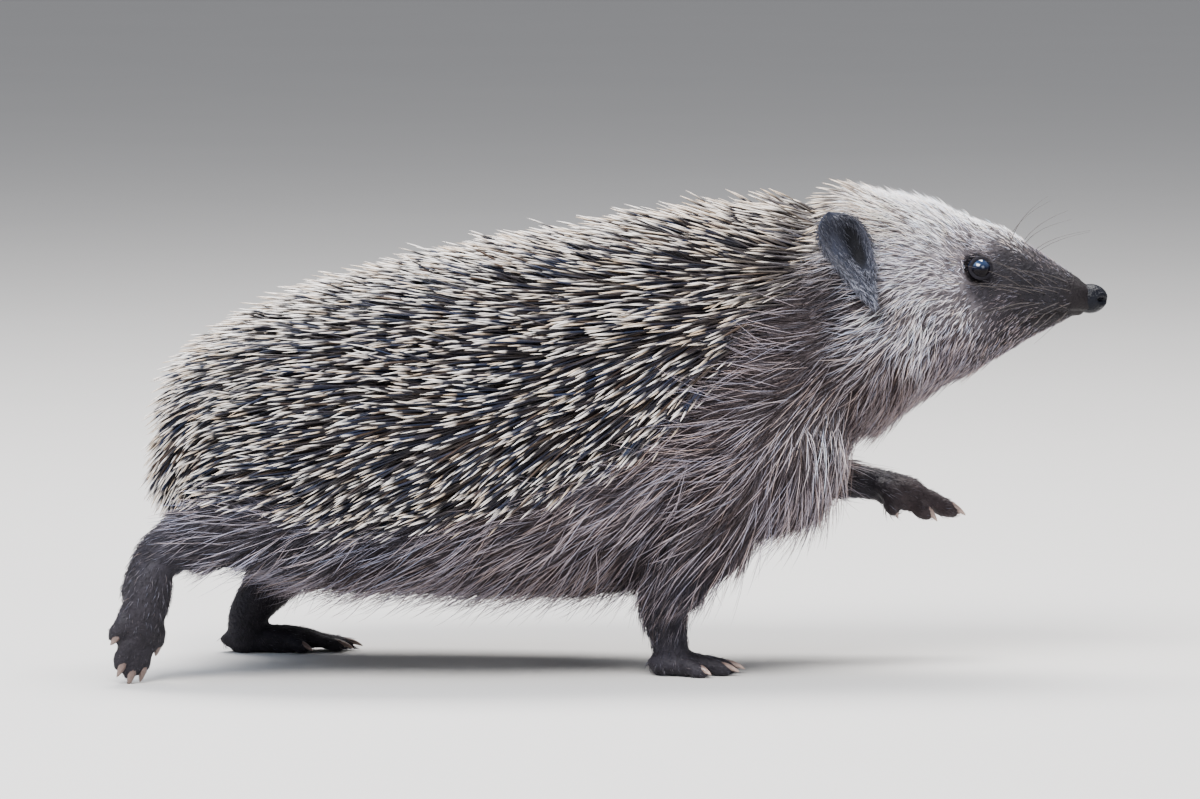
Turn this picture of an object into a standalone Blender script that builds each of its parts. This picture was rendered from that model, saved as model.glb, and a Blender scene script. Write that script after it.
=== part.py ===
"""European hedgehog walking to its own front (+X), life size, as a still museum model.

The body is shaped whole, out to the tips of its coat: one loft for trunk, neck and head, tubes for
the limbs, all fused into one smooth blank. Thin cuts then part the blank where an anatomist would
name its pieces. Eyes, ears, nose and feet are shaped on their own and set against the blank.
The animal's left is +Y, the floor is z = 0, lengths in the tables are millimetres.
"""
import math

import bmesh
import bpy
from mathutils import Matrix, Vector

MM = 0.001

# Driving sizes, in millimetres.
GAP = 0.3                       # width of every parting cut
SECTION_SIDES = 48              # points round one section of the body loft
SECTION_STEPS = 90              # sections along the loft
VOXEL = 1.5                     # cell of the remesh that fuses trunk and limbs
BLANK_TRIANGLES = 2800          # triangles left in the fused blank
FOOT_VOXEL = 0.55               # cell of the remesh that fuses a foot with its toes and claws
FOOT_TRIANGLES = 470            # triangles left in each foot
SKIRT_STEP = 2.2                # how far the spines overhang the flank's fur
SKIRT_FADE = 16.0               # height over which the overhang dies away below
EYE_RADIUS = 3.1
EYE_CENTRE = (99.9, 14.2, 108.9)
EAR_LENGTH = 27.5
EAR_WIDTH = 17.8
EAR_THICKNESS = 2.0
NOSE_CENTRE = (130.6, 0.0, 99.6)
NOSE_RADII = (5.0, 4.9, 4.6)

# Body sections from rump to nose: x, top, bottom, half width, share of the height at the widest.
BODY_SECTIONS = (
    (-123.0, 57.5, 56.5, 0.8, 0.50),
    (-121.5, 64.0, 49.0, 9.5, 0.50),
    (-118.5, 72.0, 42.0, 18.0, 0.50),
    (-112.0, 84.5, 34.0, 29.0, 0.48),
    (-103.0, 92.0, 26.5, 39.0, 0.46),
    (-90.0, 98.5, 20.5, 46.5, 0.44),
    (-70.0, 106.0, 18.0, 51.5, 0.42),
    (-45.0, 112.0, 17.5, 52.5, 0.41),
    (-20.0, 117.5, 17.0, 50.0, 0.41),
    (0.0, 120.5, 17.0, 46.5, 0.41),
    (18.0, 124.5, 22.0, 43.0, 0.41),
    (34.0, 126.0, 31.5, 38.5, 0.42),
    (50.0, 127.5, 33.5, 34.5, 0.44),
    (62.0, 129.5, 41.0, 32.0, 0.44),
    (69.0, 129.8, 58.5, 30.5, 0.42),
    (80.0, 128.4, 68.0, 28.0, 0.36),
    (90.0, 126.4, 74.5, 22.8, 0.36),
    (100.0, 122.6, 80.0, 17.2, 0.40),
    (108.0, 118.8, 84.5, 13.7, 0.42),
    (116.0, 113.6, 89.0, 10.6, 0.44),
    (123.0, 109.0, 92.4, 8.4, 0.47),
    (129.0, 105.6, 94.8, 6.4, 0.50),
    (132.5, 103.0, 96.6, 4.2, 0.50),
    (134.0, 100.6, 98.8, 1.0, 0.50),
)

# Lower edge of the spines, seen from the side: x, z, from behind the rump to over the crown.
SKIRT_LINE = (
    (-140.0, 40.0), (-119.0, 44.0), (-110.0, 48.5), (-98.0, 47.0), (-84.0, 42.0), (-69.0, 38.0),
    (-50.0, 41.0), (-32.0, 44.5), (-18.0, 49.5), (-3.0, 55.5), (12.0, 62.5), (25.0, 72.0),
    (37.0, 86.0), (47.0, 99.5), (55.0, 109.0), (61.0, 119.0), (66.0, 131.0), (69.0, 142.0),
)

# Limbs from trunk to foot: x, y, z, radius with the coat on.
FORELEG_RIGHT = (
    (48.0, -24.0, 62.0, 15.0), (27.0, -29.0, 36.0, 12.0), (15.5, -25.0, 22.0, 8.6),
    (16.5, -20.5, 12.0, 6.4), (18.0, -19.5, 3.0, 5.4),
)
FORELEG_LEFT = (
    (46.0, 22.0, 60.0, 14.0), (50.0, 29.0, 49.0, 9.0), (64.0, 29.5, 48.0, 5.8),
    (75.0, 28.5, 46.6, 5.0), (84.0, 28.0, 44.4, 4.4),
)
HIND_LEG_RIGHT = (
    (-80.0, -26.0, 56.0, 22.0), (-97.0, -34.0, 42.5, 16.0), (-111.5, -36.0, 38.0, 9.4),
    (-119.5, -35.5, 33.0, 7.0), (-124.0, -34.5, 24.0, 5.6),
)
HIND_LEG_LEFT = (
    (-80.0, 26.0, 54.0, 22.0), (-78.0, 36.0, 34.0, 14.0), (-92.0, 35.0, 19.0, 8.4),
    (-98.0, 33.5, 11.0, 6.2), (-99.0, 33.0, 3.0, 5.6),
)
TAIL = ((-100.0, 0.0, 50.0, 7.0), (-113.0, 0.5, 40.0, 4.6), (-120.0, 1.5, 32.0, 3.0), (-123.0, 2.0, 28.0, 1.6))

# Haunch and shoulder: ellipsoids that part the upper leg from the trunk (centre, radii).
SHOULDER = ((43.0, 34.0, 56.0), (19.0, 15.0, 25.0))
HAUNCH = ((-86.0, 41.0, 40.0), (22.0, 17.0, 21.0))

# Flat cuts through the body's middle plane: a point (x, z) and the cut's lean from upright, degrees.
NECK_REAR_CUT = ((48.0, 92.0), 24.0)
HEAD_REAR_CUT = ((63.0, 92.0), 22.0)
SNOUT_CUT = ((109.5, 102.0), 16.0)
MOUTH_LINE = ((140.0, 98.6), (131.0, 97.2), (122.0, 97.4), (112.0, 94.6), (106.0, 91.0), (98.0, 84.0))

# Toes, inner to outer: root as a share of the sole, length, turn outward, downward pitch (degrees).
STANDING_FORE_TOES = (
    (0.50, 4.5, -46.0, 8.0), (0.78, 8.0, -20.0, 4.0), (0.86, 9.5, -2.0, 3.0),
    (0.80, 8.6, 15.0, 4.0), (0.55, 6.0, 38.0, 8.0),
)
REACHING_FORE_TOES = (
    (0.16, 4.6, -16.0, 52.0), (0.50, 8.0, -10.0, 20.0), (0.86, 9.6, -3.0, 3.0),
    (0.84, 9.0, 7.0, 6.0), (0.60, 6.5, 24.0, 26.0),
)
STANDING_HIND_TOES = (
    (0.62, 5.0, -34.0, 10.0), (0.84, 9.0, -13.0, 4.0), (0.88, 10.5, 0.0, 3.0),
    (0.84, 9.5, 13.0, 4.0), (0.66, 6.0, 30.0, 10.0),
)
PUSHING_HIND_TOES = (
    (0.72, 5.2, -15.0, -4.0), (0.88, 8.0, -6.0, -10.0), (0.92, 8.4, 0.0, -12.0),
    (0.88, 7.6, 6.0, -10.0), (0.68, 5.4, 17.0, -2.0),
)

# Each leg: where its visible length starts, half width of the parting box, joint with the foot
# and the direction in which that joint is cut.
LEG_CUTS = {
    "foreleg_right": ((18.5, -26.5, 27.5), 10.4, (18.0, -20.0, 8.5), (0.0, 0.0, -1.0)),
    "foreleg_left": ((66.0, 29.5, 47.8), 8.6, (75.5, 28.5, 46.5), (1.0, 0.0, -0.1)),
    "hind_leg_right": ((-110.0, -36.0, 39.0), 12.0, (-119.0, -35.5, 33.5), (-0.55, 0.0, -0.84)),
    "hind_leg_left": ((-91.5, 35.0, 19.5), 9.5, (-98.2, 33.4, 9.0), (0.0, 0.0, -1.0)),
}
TAIL_START = (-114.5, 0.7, 38.0)

# Feet: heel, direction of the toes, direction of the foot's back, sole length, width, height, claws,
# toe radius as a share of the width.
FEET = {
    "forefoot_right": ((12.5, -19.5, 0.0), (1.0, 0.12, 0.0), (0.0, 0.0, 1.0), 14.0, 12.4, 6.4, 5.0, 0.185),
    "forefoot_left": ((74.0, 28.5, 42.4), (0.965, 0.0, -0.24), (0.24, 0.0, 0.965), 13.5, 12.0, 8.0, 5.0, 0.22),
    "hind_foot_right": (
        (-121.0, -35.5, 33.4), (-0.26, 0.04, -0.96), (0.50, -0.84, -0.17), 25.0, 12.4, 8.4, 4.6, 0.205),
    "hind_foot_left": ((-103.5, 33.0, 0.0), (1.0, 0.10, 0.0), (0.0, 0.0, 1.0), 26.0, 10.5, 7.0, 5.0, 0.185),
}

COLOURS = {
    "spines": (0.20, 0.16, 0.12, 1.0),
    "body_fur": (0.17, 0.14, 0.13, 1.0),
    "face_fur": (0.38, 0.33, 0.29, 1.0),
    "muzzle_fur": (0.16, 0.13, 0.12, 1.0),
    "leg_fur": (0.07, 0.06, 0.06, 1.0),
    "foot_skin": (0.05, 0.045, 0.045, 1.0),
    "ear_skin": (0.09, 0.10, 0.12, 1.0),
    "nose_skin": (0.02, 0.02, 0.025, 1.0),
    "eye_black": (0.008, 0.007, 0.008, 1.0),
}
GLOSS = {"nose_skin": 0.25, "eye_black": 0.06, "foot_skin": 0.6, "ear_skin": 0.7}


# ---------------------------------------------------------------- scene, materials, small helpers

def empty_scene():
    for obj in list(bpy.data.objects):
        bpy.data.objects.remove(obj, do_unlink=True)


def new_collection(name):
    collection = bpy.data.collections.new(name)
    bpy.context.scene.collection.children.link(collection)
    return collection


def make_material(name):
    material = bpy.data.materials.new(name)
    material.use_nodes = True
    shader = material.node_tree.nodes["Principled BSDF"]
    shader.inputs["Base Color"].default_value = COLOURS[name]
    shader.inputs["Roughness"].default_value = GLOSS.get(name, 0.85)
    shader.inputs["Metallic"].default_value = 0.0
    return material


def add_object(name, mesh, collection):
    obj = bpy.data.objects.new(name, mesh)
    collection.objects.link(obj)
    return obj


def add_tool(name, mesh):
    """A blank or a cutter: kept out of the model, shown as wire."""
    obj = add_object(name, mesh, TOOLS)
    obj.hide_render = True
    obj.display_type = "WIRE"
    return obj


def evaluated_mesh(obj):
    depsgraph = bpy.context.evaluated_depsgraph_get()
    return bpy.data.meshes.new_from_object(obj.evaluated_get(depsgraph))


def bake_modifiers(obj):
    mesh = evaluated_mesh(obj)
    obj.modifiers.clear()
    obj.data = mesh


def boolean(obj, other, operation):
    cut = obj.modifiers.new("cut", "BOOLEAN")
    cut.operation = operation
    cut.solver = "EXACT"
    cut.object = other
    bake_modifiers(obj)


def weld(mesh, distance=0.00002):
    bm = bmesh.new()
    bm.from_mesh(mesh)
    bmesh.ops.remove_doubles(bm, verts=bm.verts, dist=distance)
    bmesh.ops.dissolve_degenerate(bm, edges=bm.edges, dist=distance)
    bmesh.ops.recalc_face_normals(bm, faces=bm.faces)
    bm.to_mesh(mesh)
    bm.free()


def cut_flat(obj, point, normal):
    """Keep what lies behind the plane through point, and close the cut."""
    bm = bmesh.new()
    bm.from_mesh(obj.data)
    geometry = bm.verts[:] + bm.edges[:] + bm.faces[:]
    bmesh.ops.bisect_plane(bm, geom=geometry, plane_co=point, plane_no=normal, clear_outer=True)
    rim = [edge for edge in bm.edges if edge.is_boundary]
    filled = bmesh.ops.edgeloop_fill(bm, edges=rim)
    bmesh.ops.triangulate(bm, faces=filled["faces"])
    bm.to_mesh(obj.data)
    bm.free()


def smooth_curve(points, share):
    """Point at a share (0 to 1) of a smooth curve through points of any dimension."""
    last = len(points) - 1
    place = min(max(share, 0.0), 1.0) * last
    k = min(int(place), last - 1)
    t = place - k
    p1 = points[k]
    p2 = points[k + 1]
    p0 = points[k - 1] if k > 0 else p1
    p3 = points[k + 2] if k + 2 <= last else p2
    return tuple(
        0.5 * (2 * b + (c - a) * t + (2 * a - 5 * b + 4 * c - d) * t * t + (3 * b - a - 3 * c + d) * t ** 3)
        for a, b, c, d in zip(p0, p1, p2, p3)
    )


def mirror_side(point, side):
    return (point[0], point[1] * side, point[2])


# ---------------------------------------------------------------- the whole body

def skirt_height(x):
    """Height of the spines' lower edge at x."""
    for (x0, z0), (x1, z1) in zip(SKIRT_LINE, SKIRT_LINE[1:]):
        if x <= x1:
            return z0 + (z1 - z0) * max(0.0, (x - x0) / (x1 - x0))
    return SKIRT_LINE[-1][1]


def section_ring(x, top, bottom, half_width, widest):
    """One closed section, pear-shaped, with the step under the spines."""
    middle = bottom + (top - bottom) * widest
    ring = []
    for k in range(SECTION_SIDES):
        angle = 2 * math.pi * k / SECTION_SIDES
        side = math.copysign(abs(math.cos(angle)) ** 0.92, math.cos(angle))
        rise = math.copysign(abs(math.sin(angle)) ** 0.92, math.sin(angle))
        z = middle + rise * ((top - middle) if rise > 0 else (middle - bottom))
        under = skirt_height(x) - z
        step = SKIRT_STEP * max(0.0, 1 - under / SKIRT_FADE) if under > 0 else 0.0
        y = side * max(half_width - step, half_width * 0.6)
        ring.append(Vector((x, y, z)) * MM)
    return ring


def body_loft():
    bm = bmesh.new()
    rings = []
    for k in range(SECTION_STEPS + 1):
        x, top, bottom, half_width, widest = smooth_curve(BODY_SECTIONS, k / SECTION_STEPS)
        ring = section_ring(x, top, bottom, half_width, widest)
        rings.append([bm.verts.new(point) for point in ring])
    for ring, following in zip(rings, rings[1:]):
        for k in range(SECTION_SIDES):
            j = (k + 1) % SECTION_SIDES
            bm.faces.new((ring[k], ring[j], following[j], following[k]))
    bm.faces.new(rings[0])
    bm.faces.new(reversed(rings[-1]))
    bmesh.ops.recalc_face_normals(bm, faces=bm.faces)
    mesh = bpy.data.meshes.new("body_loft")
    bm.to_mesh(mesh)
    bm.free()
    return mesh


def rounded_path(points):
    """Add points of shrinking radius beyond both ends, so that a tube's ends are round."""
    path = list(points)
    for end, inner in ((-1, -2), (0, 1)):
        tip = Vector(path[end][:3])
        radius = path[end][3]
        outward = (tip - Vector(path[inner][:3])).normalized()
        caps = []
        for angle in (32.0, 62.0, 84.0):
            turn = math.radians(angle)
            caps.append((*(tip + outward * radius * math.sin(turn)), radius * math.cos(turn)))
        path = path + caps if end == -1 else caps[::-1] + path
    return path


def tube_mesh(points, sides_resolution):
    """A closed, round-ended tube through (x, y, z, radius) points, as a mesh."""
    path = rounded_path(points)
    curve = bpy.data.curves.new("tube", "CURVE")
    curve.dimensions = "3D"
    curve.bevel_depth = MM
    curve.bevel_resolution = sides_resolution
    curve.use_fill_caps = True
    spline = curve.splines.new("POLY")
    spline.points.add(len(path) - 1)
    for point, (x, y, z, radius) in zip(spline.points, path):
        point.co = (x * MM, y * MM, z * MM, 1.0)
        point.radius = radius
    holder = add_tool("tube", curve)
    mesh = evaluated_mesh(holder)
    bpy.data.objects.remove(holder, do_unlink=True)
    weld(mesh)
    return mesh


def limb_mesh(joints, steps=14):
    path = [smooth_curve(joints, k / steps) for k in range(steps + 1)]
    return tube_mesh(path, sides_resolution=6)


def ellipsoid_mesh(centre, radii, segments=24, rings=14, turn=None):
    bm = bmesh.new()
    bmesh.ops.create_uvsphere(bm, u_segments=segments, v_segments=rings, radius=MM)
    stretch = Matrix.Diagonal((*radii, 1.0))
    place = Matrix.Translation(Vector(centre) * MM)
    bm.transform(place @ (turn or Matrix.Identity(4)) @ stretch)
    mesh = bpy.data.meshes.new("ellipsoid")
    bm.to_mesh(mesh)
    bm.free()
    return mesh


def join_meshes(name, meshes):
    bm = bmesh.new()
    for mesh in meshes:
        bm.from_mesh(mesh)
    joined = bpy.data.meshes.new(name)
    bm.to_mesh(joined)
    bm.free()
    return joined


def fuse_and_thin(obj, cell, smoothing, triangles_left):
    """Fuse overlapping closed forms into one smooth skin of about so many triangles."""
    fuse = obj.modifiers.new("fuse", "REMESH")
    fuse.mode = "VOXEL"
    fuse.voxel_size = cell * MM
    soften = obj.modifiers.new("soften", "SMOOTH")
    soften.factor = 0.5
    soften.iterations = smoothing
    bake_modifiers(obj)
    triangles = sum(len(face.vertices) - 2 for face in obj.data.polygons)
    thin = obj.modifiers.new("thin", "DECIMATE")
    thin.ratio = triangles_left / triangles
    bake_modifiers(obj)


def body_blank():
    """Trunk, neck, head, limbs and tail fused into one smooth closed form."""
    limbs = (FORELEG_RIGHT, FORELEG_LEFT, HIND_LEG_RIGHT, HIND_LEG_LEFT, TAIL)
    blank = add_tool("body_blank", join_meshes("body_blank", [body_loft()] + [limb_mesh(j) for j in limbs]))
    fuse_and_thin(blank, VOXEL, 3, BLANK_TRIANGLES)
    return blank


# ---------------------------------------------------------------- cutters

def prism(name, outline, half_depth):
    """A flat outline in x and z, drawn across the animal as a solid."""
    bm = bmesh.new()
    front = [bm.verts.new((x * MM, -half_depth * MM, z * MM)) for x, z in outline]
    face = bm.faces.new(front)
    pushed = bmesh.ops.extrude_face_region(bm, geom=[face])
    moved = [item for item in pushed["geom"] if isinstance(item, bmesh.types.BMVert)]
    bmesh.ops.translate(bm, verts=moved, vec=(0, 2 * half_depth * MM, 0))
    bmesh.ops.recalc_face_normals(bm, faces=bm.faces)
    mesh = bpy.data.meshes.new(name)
    bm.to_mesh(mesh)
    bm.free()
    return add_tool(name, mesh)


def shifted_line(line, distance):
    """A line moved sideways (up and back for a positive distance) by half-cuts."""
    moved = []
    for k, (x, z) in enumerate(line):
        before = line[max(k - 1, 0)]
        after = line[min(k + 1, len(line) - 1)]
        along = Vector((after[0] - before[0], after[1] - before[1])).normalized()
        moved.append((x - along.y * distance, z + along.x * distance))
    return moved


def lean_cut(cut):
    """Point and forward normal of a flat cut that leans back at the top."""
    (x, z), lean = cut
    angle = math.radians(lean)
    return Vector((x, 0, z)) * MM, Vector((math.cos(angle), 0, math.sin(angle)))


def keep_between(obj, rear_cut=None, front_cut=None):
    """Keep the length of body between two leaning cuts, half a gap clear of each."""
    half = 0.5 * GAP * MM
    if front_cut:
        point, normal = lean_cut(front_cut)
        cut_flat(obj, point - normal * half, normal)
    if rear_cut:
        point, normal = lean_cut(rear_cut)
        cut_flat(obj, point + normal * half, -normal)


def copy_of(obj, name):
    return add_tool(name, obj.data.copy())


def grown_ellipsoid(centre, radii, extra):
    return ellipsoid_mesh(centre, [radius + extra for radius in radii], 12, 8)


def finish_node(obj, name, material):
    """Move a finished solid into the model, with its material and smooth shading."""
    TOOLS.objects.unlink(obj)
    MODEL.objects.link(obj)
    obj.name = name
    obj.hide_render = False
    obj.display_type = "TEXTURED"
    weld(obj.data)
    obj.data.materials.clear()
    obj.data.materials.append(MATERIALS[material])
    obj.data.shade_smooth()
    obj.data.set_sharp_from_angle(angle=math.radians(50))
    return obj


def largest_piece(obj):
    """Drop crumbs that a cut may leave beside the main piece."""
    bm = bmesh.new()
    bm.from_mesh(obj.data)
    unseen = set(bm.verts)
    groups = []
    while unseen:
        stack = [unseen.pop()]
        group = []
        while stack:
            vert = stack.pop()
            group.append(vert)
            for edge in vert.link_edges:
                other = edge.other_vert(vert)
                if other in unseen:
                    unseen.remove(other)
                    stack.append(other)
        groups.append(group)
    groups.sort(key=len)
    for group in groups[:-1]:
        bmesh.ops.delete(bm, geom=group, context="VERTS")
    bm.to_mesh(obj.data)
    bm.free()


# ---------------------------------------------------------------- eyes, nose, ears

def side_of(side):
    return "left" if side > 0 else "right"


def make_eye(side):
    eye = add_tool("eye", ellipsoid_mesh(mirror_side(EYE_CENTRE, side), [EYE_RADIUS] * 3, 12, 8))
    return finish_node(eye, "eye_" + side_of(side), "eye_black")


def make_nose():
    """The leathery nose pad, with a nostril pressed into each side."""
    nose = add_tool("nose", ellipsoid_mesh(NOSE_CENTRE, NOSE_RADII, 12, 8))
    for side in (-1, 1):
        x, _, z = NOSE_CENTRE
        nostril = add_tool("nostril", ellipsoid_mesh((x + 2.6, 4.3 * side, z + 0.2), (1.6, 1.3, 0.9), 6, 4))
        boolean(nose, nostril, "DIFFERENCE")
    return nose


def ear_frame(side):
    """Ear axes: down the ear, out across it and away from the head."""
    down = Vector((0.40, 0.26 * side, -0.88)).normalized()
    away = Vector((0.30, 0.93 * side, 0.0))
    away = (away - down * away.dot(down)).normalized()
    across = down.cross(away) * side
    top = Vector((61.9, 22.9 * side, 124.8))
    return top, down, across.normalized(), away


def ear_flap(side):
    """A rounded, cupped flap: wide above, drawn out to a narrow lobe below, with a raised rim."""
    top, down, across, away = ear_frame(side)
    steps_long = 9
    steps_wide = 5
    bm = bmesh.new()
    layers = {}
    for layer in (0, 1):
        for i in range(steps_long + 1):
            u = 0.5 - 0.5 * math.cos(math.pi * (0.03 + 0.94 * i / steps_long))
            half = 0.5 * EAR_WIDTH * (math.sin(math.pi * u ** 0.80)) ** 0.62 * (1 - 0.65 * u)
            for j in range(steps_wide + 1):
                v = -1 + 2 * j / steps_wide
                cup = 3.4 * v * v * math.sin(math.pi * u) - 1.8 * math.sin(math.pi * u)
                flare = 4.4 * (1 - u) ** 0.8 * (0.5 - 0.5 * v)
                skew = 0.8 * u
                middle = top + down * EAR_LENGTH * u + across * (half * v + skew - 3.0)
                offset = cup + flare + (EAR_THICKNESS if layer else 0.0)
                layers[layer, i, j] = bm.verts.new((middle + away * offset) * MM)
    for i in range(steps_long):
        for j in range(steps_wide):
            corners = ((i, j), (i + 1, j), (i + 1, j + 1), (i, j + 1))
            for layer in (0, 1):
                bm.faces.new([layers[(layer,) + corner] for corner in corners])
    rim = [(i, 0) for i in range(steps_long)] + [(steps_long, j) for j in range(steps_wide)]
    rim += [(steps_long - i, steps_wide) for i in range(steps_long)]
    rim += [(0, steps_wide - j) for j in range(steps_wide)]
    for first, second in zip(rim, rim[1:] + rim[:1]):
        bm.faces.new((layers[(0,) + first], layers[(0,) + second], layers[(1,) + second], layers[(1,) + first]))
    bmesh.ops.recalc_face_normals(bm, faces=bm.faces)
    mesh = bpy.data.meshes.new("ear")
    bm.to_mesh(mesh)
    bm.free()
    return add_tool("ear_flap", mesh)


def make_ears(seat):
    """Both ears, each ending where it meets the side of the head."""
    for side in (-1, 1):
        ear = ear_flap(side)
        boolean(ear, seat, "DIFFERENCE")
        largest_piece(ear)
        finish_node(ear, "ear_" + side_of(side), "ear_skin")


# ---------------------------------------------------------------- feet

def foot_frame(heel, forward, up):
    """Local axes of a foot: x to the toes, y to its left, z out of its back."""
    x_axis = Vector(forward).normalized()
    z_axis = Vector(up)
    z_axis = (z_axis - x_axis * z_axis.dot(x_axis)).normalized()
    y_axis = z_axis.cross(x_axis)
    turn = Matrix((x_axis, y_axis, z_axis)).transposed().to_4x4()
    return Matrix.Translation(Vector(heel)) @ turn


def toe_path(frame, root, length, turn, pitch, radius):
    """A toe from its root, arched at the knuckle and pitched down."""
    yaw = math.radians(turn)
    dip = math.radians(pitch)
    out = Vector((math.cos(dip) * math.cos(yaw), math.cos(dip) * math.sin(yaw), -math.sin(dip)))
    path = []
    for share, lift, scale in ((-0.35, 0.0, 0.95), (0.2, 0.35, 1.0), (0.62, 0.25, 0.97), (0.92, -0.1, 0.86)):
        local = Vector(root) + out * length * share + Vector((0, 0, lift * radius))
        path.append((*(frame @ local), radius * scale))
    return path, out


def claw_path(frame, root, out, length, radius):
    """A claw curving down from the toe's end to a blunt tip."""
    path = []
    for k in range(5):
        share = k / 4
        drop = Vector((0, 0, -0.30 * length * share * share))
        local = root + out * length * share + drop
        path.append((*(frame @ local), radius * (1 - 0.55 * share)))
    return path


def make_foot(frame, sole_length, width, height, toes, toe_radius, outward, claw_length, ankle):
    """Sole, pads, toes, claws and ankle fused as one solid; outward is the side of its little toe."""
    sole_turn = frame.to_3x3().to_4x4()
    centre = frame @ Vector((0.46 * sole_length, 0, 0.5 * height))
    radii = (0.56 * sole_length, 0.5 * width, 0.58 * height)
    pieces = [ankle, ellipsoid_mesh(centre, radii, 20, 12, sole_turn)]
    for k, (start, length, turn, pitch) in enumerate(toes):
        slot = (k - 2) / 2
        root = Vector((sole_length * start, slot * 0.40 * width * outward, 0.36 * height))
        path, out = toe_path(frame, root, length, turn * outward, pitch, toe_radius)
        pieces.append(tube_mesh(path, 3))
        claw_root = root + out * length * 0.86 + Vector((0, 0, 0.30 * toe_radius))
        nail = claw_length * (1 - 0.30 * slot * slot)
        pieces.append(tube_mesh(claw_path(frame, claw_root, out, nail, toe_radius * 0.60), 3))
    for share, slot in ((0.16, 0.0), (0.62, -0.42), (0.70, 0.0), (0.62, 0.42)):
        pad = frame @ Vector((share * sole_length, slot * 0.62 * width, 0.10 * height))
        radii = (0.15 * sole_length, 0.17 * width, 0.22 * height)
        pieces.append(ellipsoid_mesh(pad, radii, 12, 8, sole_turn))
    foot = add_tool("foot", join_meshes("foot", pieces))
    fuse_and_thin(foot, FOOT_VOXEL, 1, FOOT_TRIANGLES)
    return foot


def flat_on_floor(obj):
    cut_flat(obj, Vector((0, 0, 0)), Vector((0, 0, -1)))


def part_at_joint(leg, foot, point, toward_foot):
    """Cut a leg and its foot at one plane, half a gap each side."""
    half = toward_foot * 0.5 * GAP * MM
    place = Vector(point) * MM
    cut_flat(leg, place - half, toward_foot)
    cut_flat(foot, place + half, -toward_foot)


# ---------------------------------------------------------------- parting the blank

def split_by_line(obj, line, far_corners, name):
    """Two copies of obj: inside and outside the prism that the line closes with its far corners."""
    half = 0.5 * GAP
    inside = copy_of(obj, name + "_inside")
    outside = copy_of(obj, name + "_outside")
    boolean(inside, prism(name, shifted_line(line, half) + list(far_corners), 90.0), "INTERSECT")
    boolean(outside, prism(name, shifted_line(line, -half) + list(far_corners), 90.0), "DIFFERENCE")
    return inside, outside


def grown_copy(obj, name, distance):
    grown = copy_of(obj, name)
    swell = grown.modifiers.new("swell", "DISPLACE")
    swell.strength = distance * MM
    swell.mid_level = 0.0
    bake_modifiers(grown)
    return grown


def limb_box(start, end, half_width, extra=0.0):
    """A box round a limb, its first face square to the limb at start; extra grows it all over."""
    begin = Vector(start)
    along = (Vector(end) - begin).normalized()
    length = 48.0
    turn = along.to_track_quat("X", "Z").to_matrix().to_4x4()
    bm = bmesh.new()
    bmesh.ops.create_cube(bm, size=1.0)
    size = Matrix.Diagonal((length + 2 * extra, 2 * (half_width + extra), 2 * (half_width + extra), 1.0))
    place = Matrix.Translation(begin + along * length / 2)
    bm.transform(Matrix.Scale(MM, 4) @ place @ turn @ size)
    mesh = bpy.data.meshes.new("limb_box")
    bm.to_mesh(mesh)
    bm.free()
    return add_tool("limb_box", mesh)


def take_out(source, name, cutter, grown_cutter):
    """Cut a piece out of source and leave the gap round it."""
    piece = copy_of(source, name)
    boolean(piece, cutter, "INTERSECT")
    boolean(source, grown_cutter, "DIFFERENCE")
    largest_piece(piece)
    return piece


def make_leg_and_foot(furred, key, joints, toes):
    """The leg below the trunk, taken from the fused body, and the foot that continues it."""
    side = 1 if key.endswith("left") else -1
    start, half_width, ankle, toward_foot = LEG_CUTS[key]
    box = limb_box(start, joints[-1][:3], half_width)
    grown_box = limb_box(start, joints[-1][:3], half_width, GAP)
    leg = take_out(furred, key, box, grown_box)
    foot_name = key.replace("foreleg", "forefoot").replace("hind_leg", "hind_foot")
    heel, forward, up, sole_length, width, height, claw, toe_share = FEET[foot_name]
    frame = foot_frame(heel, forward, up)
    ankle_mesh = limb_mesh(joints[-3:], 6)
    foot = make_foot(frame, sole_length, width, height, toes, width * toe_share, side, claw, ankle_mesh)
    part_at_joint(leg, foot, ankle, Vector(toward_foot).normalized())
    if key != "foreleg_left":
        flat_on_floor(foot)
    largest_piece(leg)
    largest_piece(foot)
    finish_node(leg, key, "leg_fur")
    finish_node(foot, foot_name, "foot_skin")


def make_head_parts(head):
    """Part the head into cranium, snout and lower jaw, and seat the eyes and nose in it."""
    nose = make_nose()
    boolean(head, grown_copy(nose, "nose_seat", GAP), "DIFFERENCE")
    for side in (-1, 1):
        seat = add_tool("eye_seat", grown_ellipsoid(mirror_side(EYE_CENTRE, side), [EYE_RADIUS] * 3, GAP))
        boolean(head, seat, "DIFFERENCE")
        make_eye(side)
    largest_piece(head)
    jaw, upper = split_by_line(head, MOUTH_LINE, ((98.0, 50.0), (140.0, 50.0)), "mouth")
    largest_piece(jaw)
    snout = copy_of(upper, "snout")
    keep_between(snout, rear_cut=SNOUT_CUT)
    keep_between(upper, front_cut=SNOUT_CUT)
    for piece in (snout, upper):
        largest_piece(piece)
    finish_node(upper, "head", "face_fur")
    finish_node(snout, "snout", "muzzle_fur")
    finish_node(jaw, "lower_jaw", "face_fur")
    finish_node(nose, "nose", "nose_skin")


def make_legs(furred):
    make_leg_and_foot(furred, "foreleg_right", FORELEG_RIGHT, STANDING_FORE_TOES)
    make_leg_and_foot(furred, "foreleg_left", FORELEG_LEFT, REACHING_FORE_TOES)
    make_leg_and_foot(furred, "hind_leg_right", HIND_LEG_RIGHT, PUSHING_HIND_TOES)
    make_leg_and_foot(furred, "hind_leg_left", HIND_LEG_LEFT, STANDING_HIND_TOES)


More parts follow.
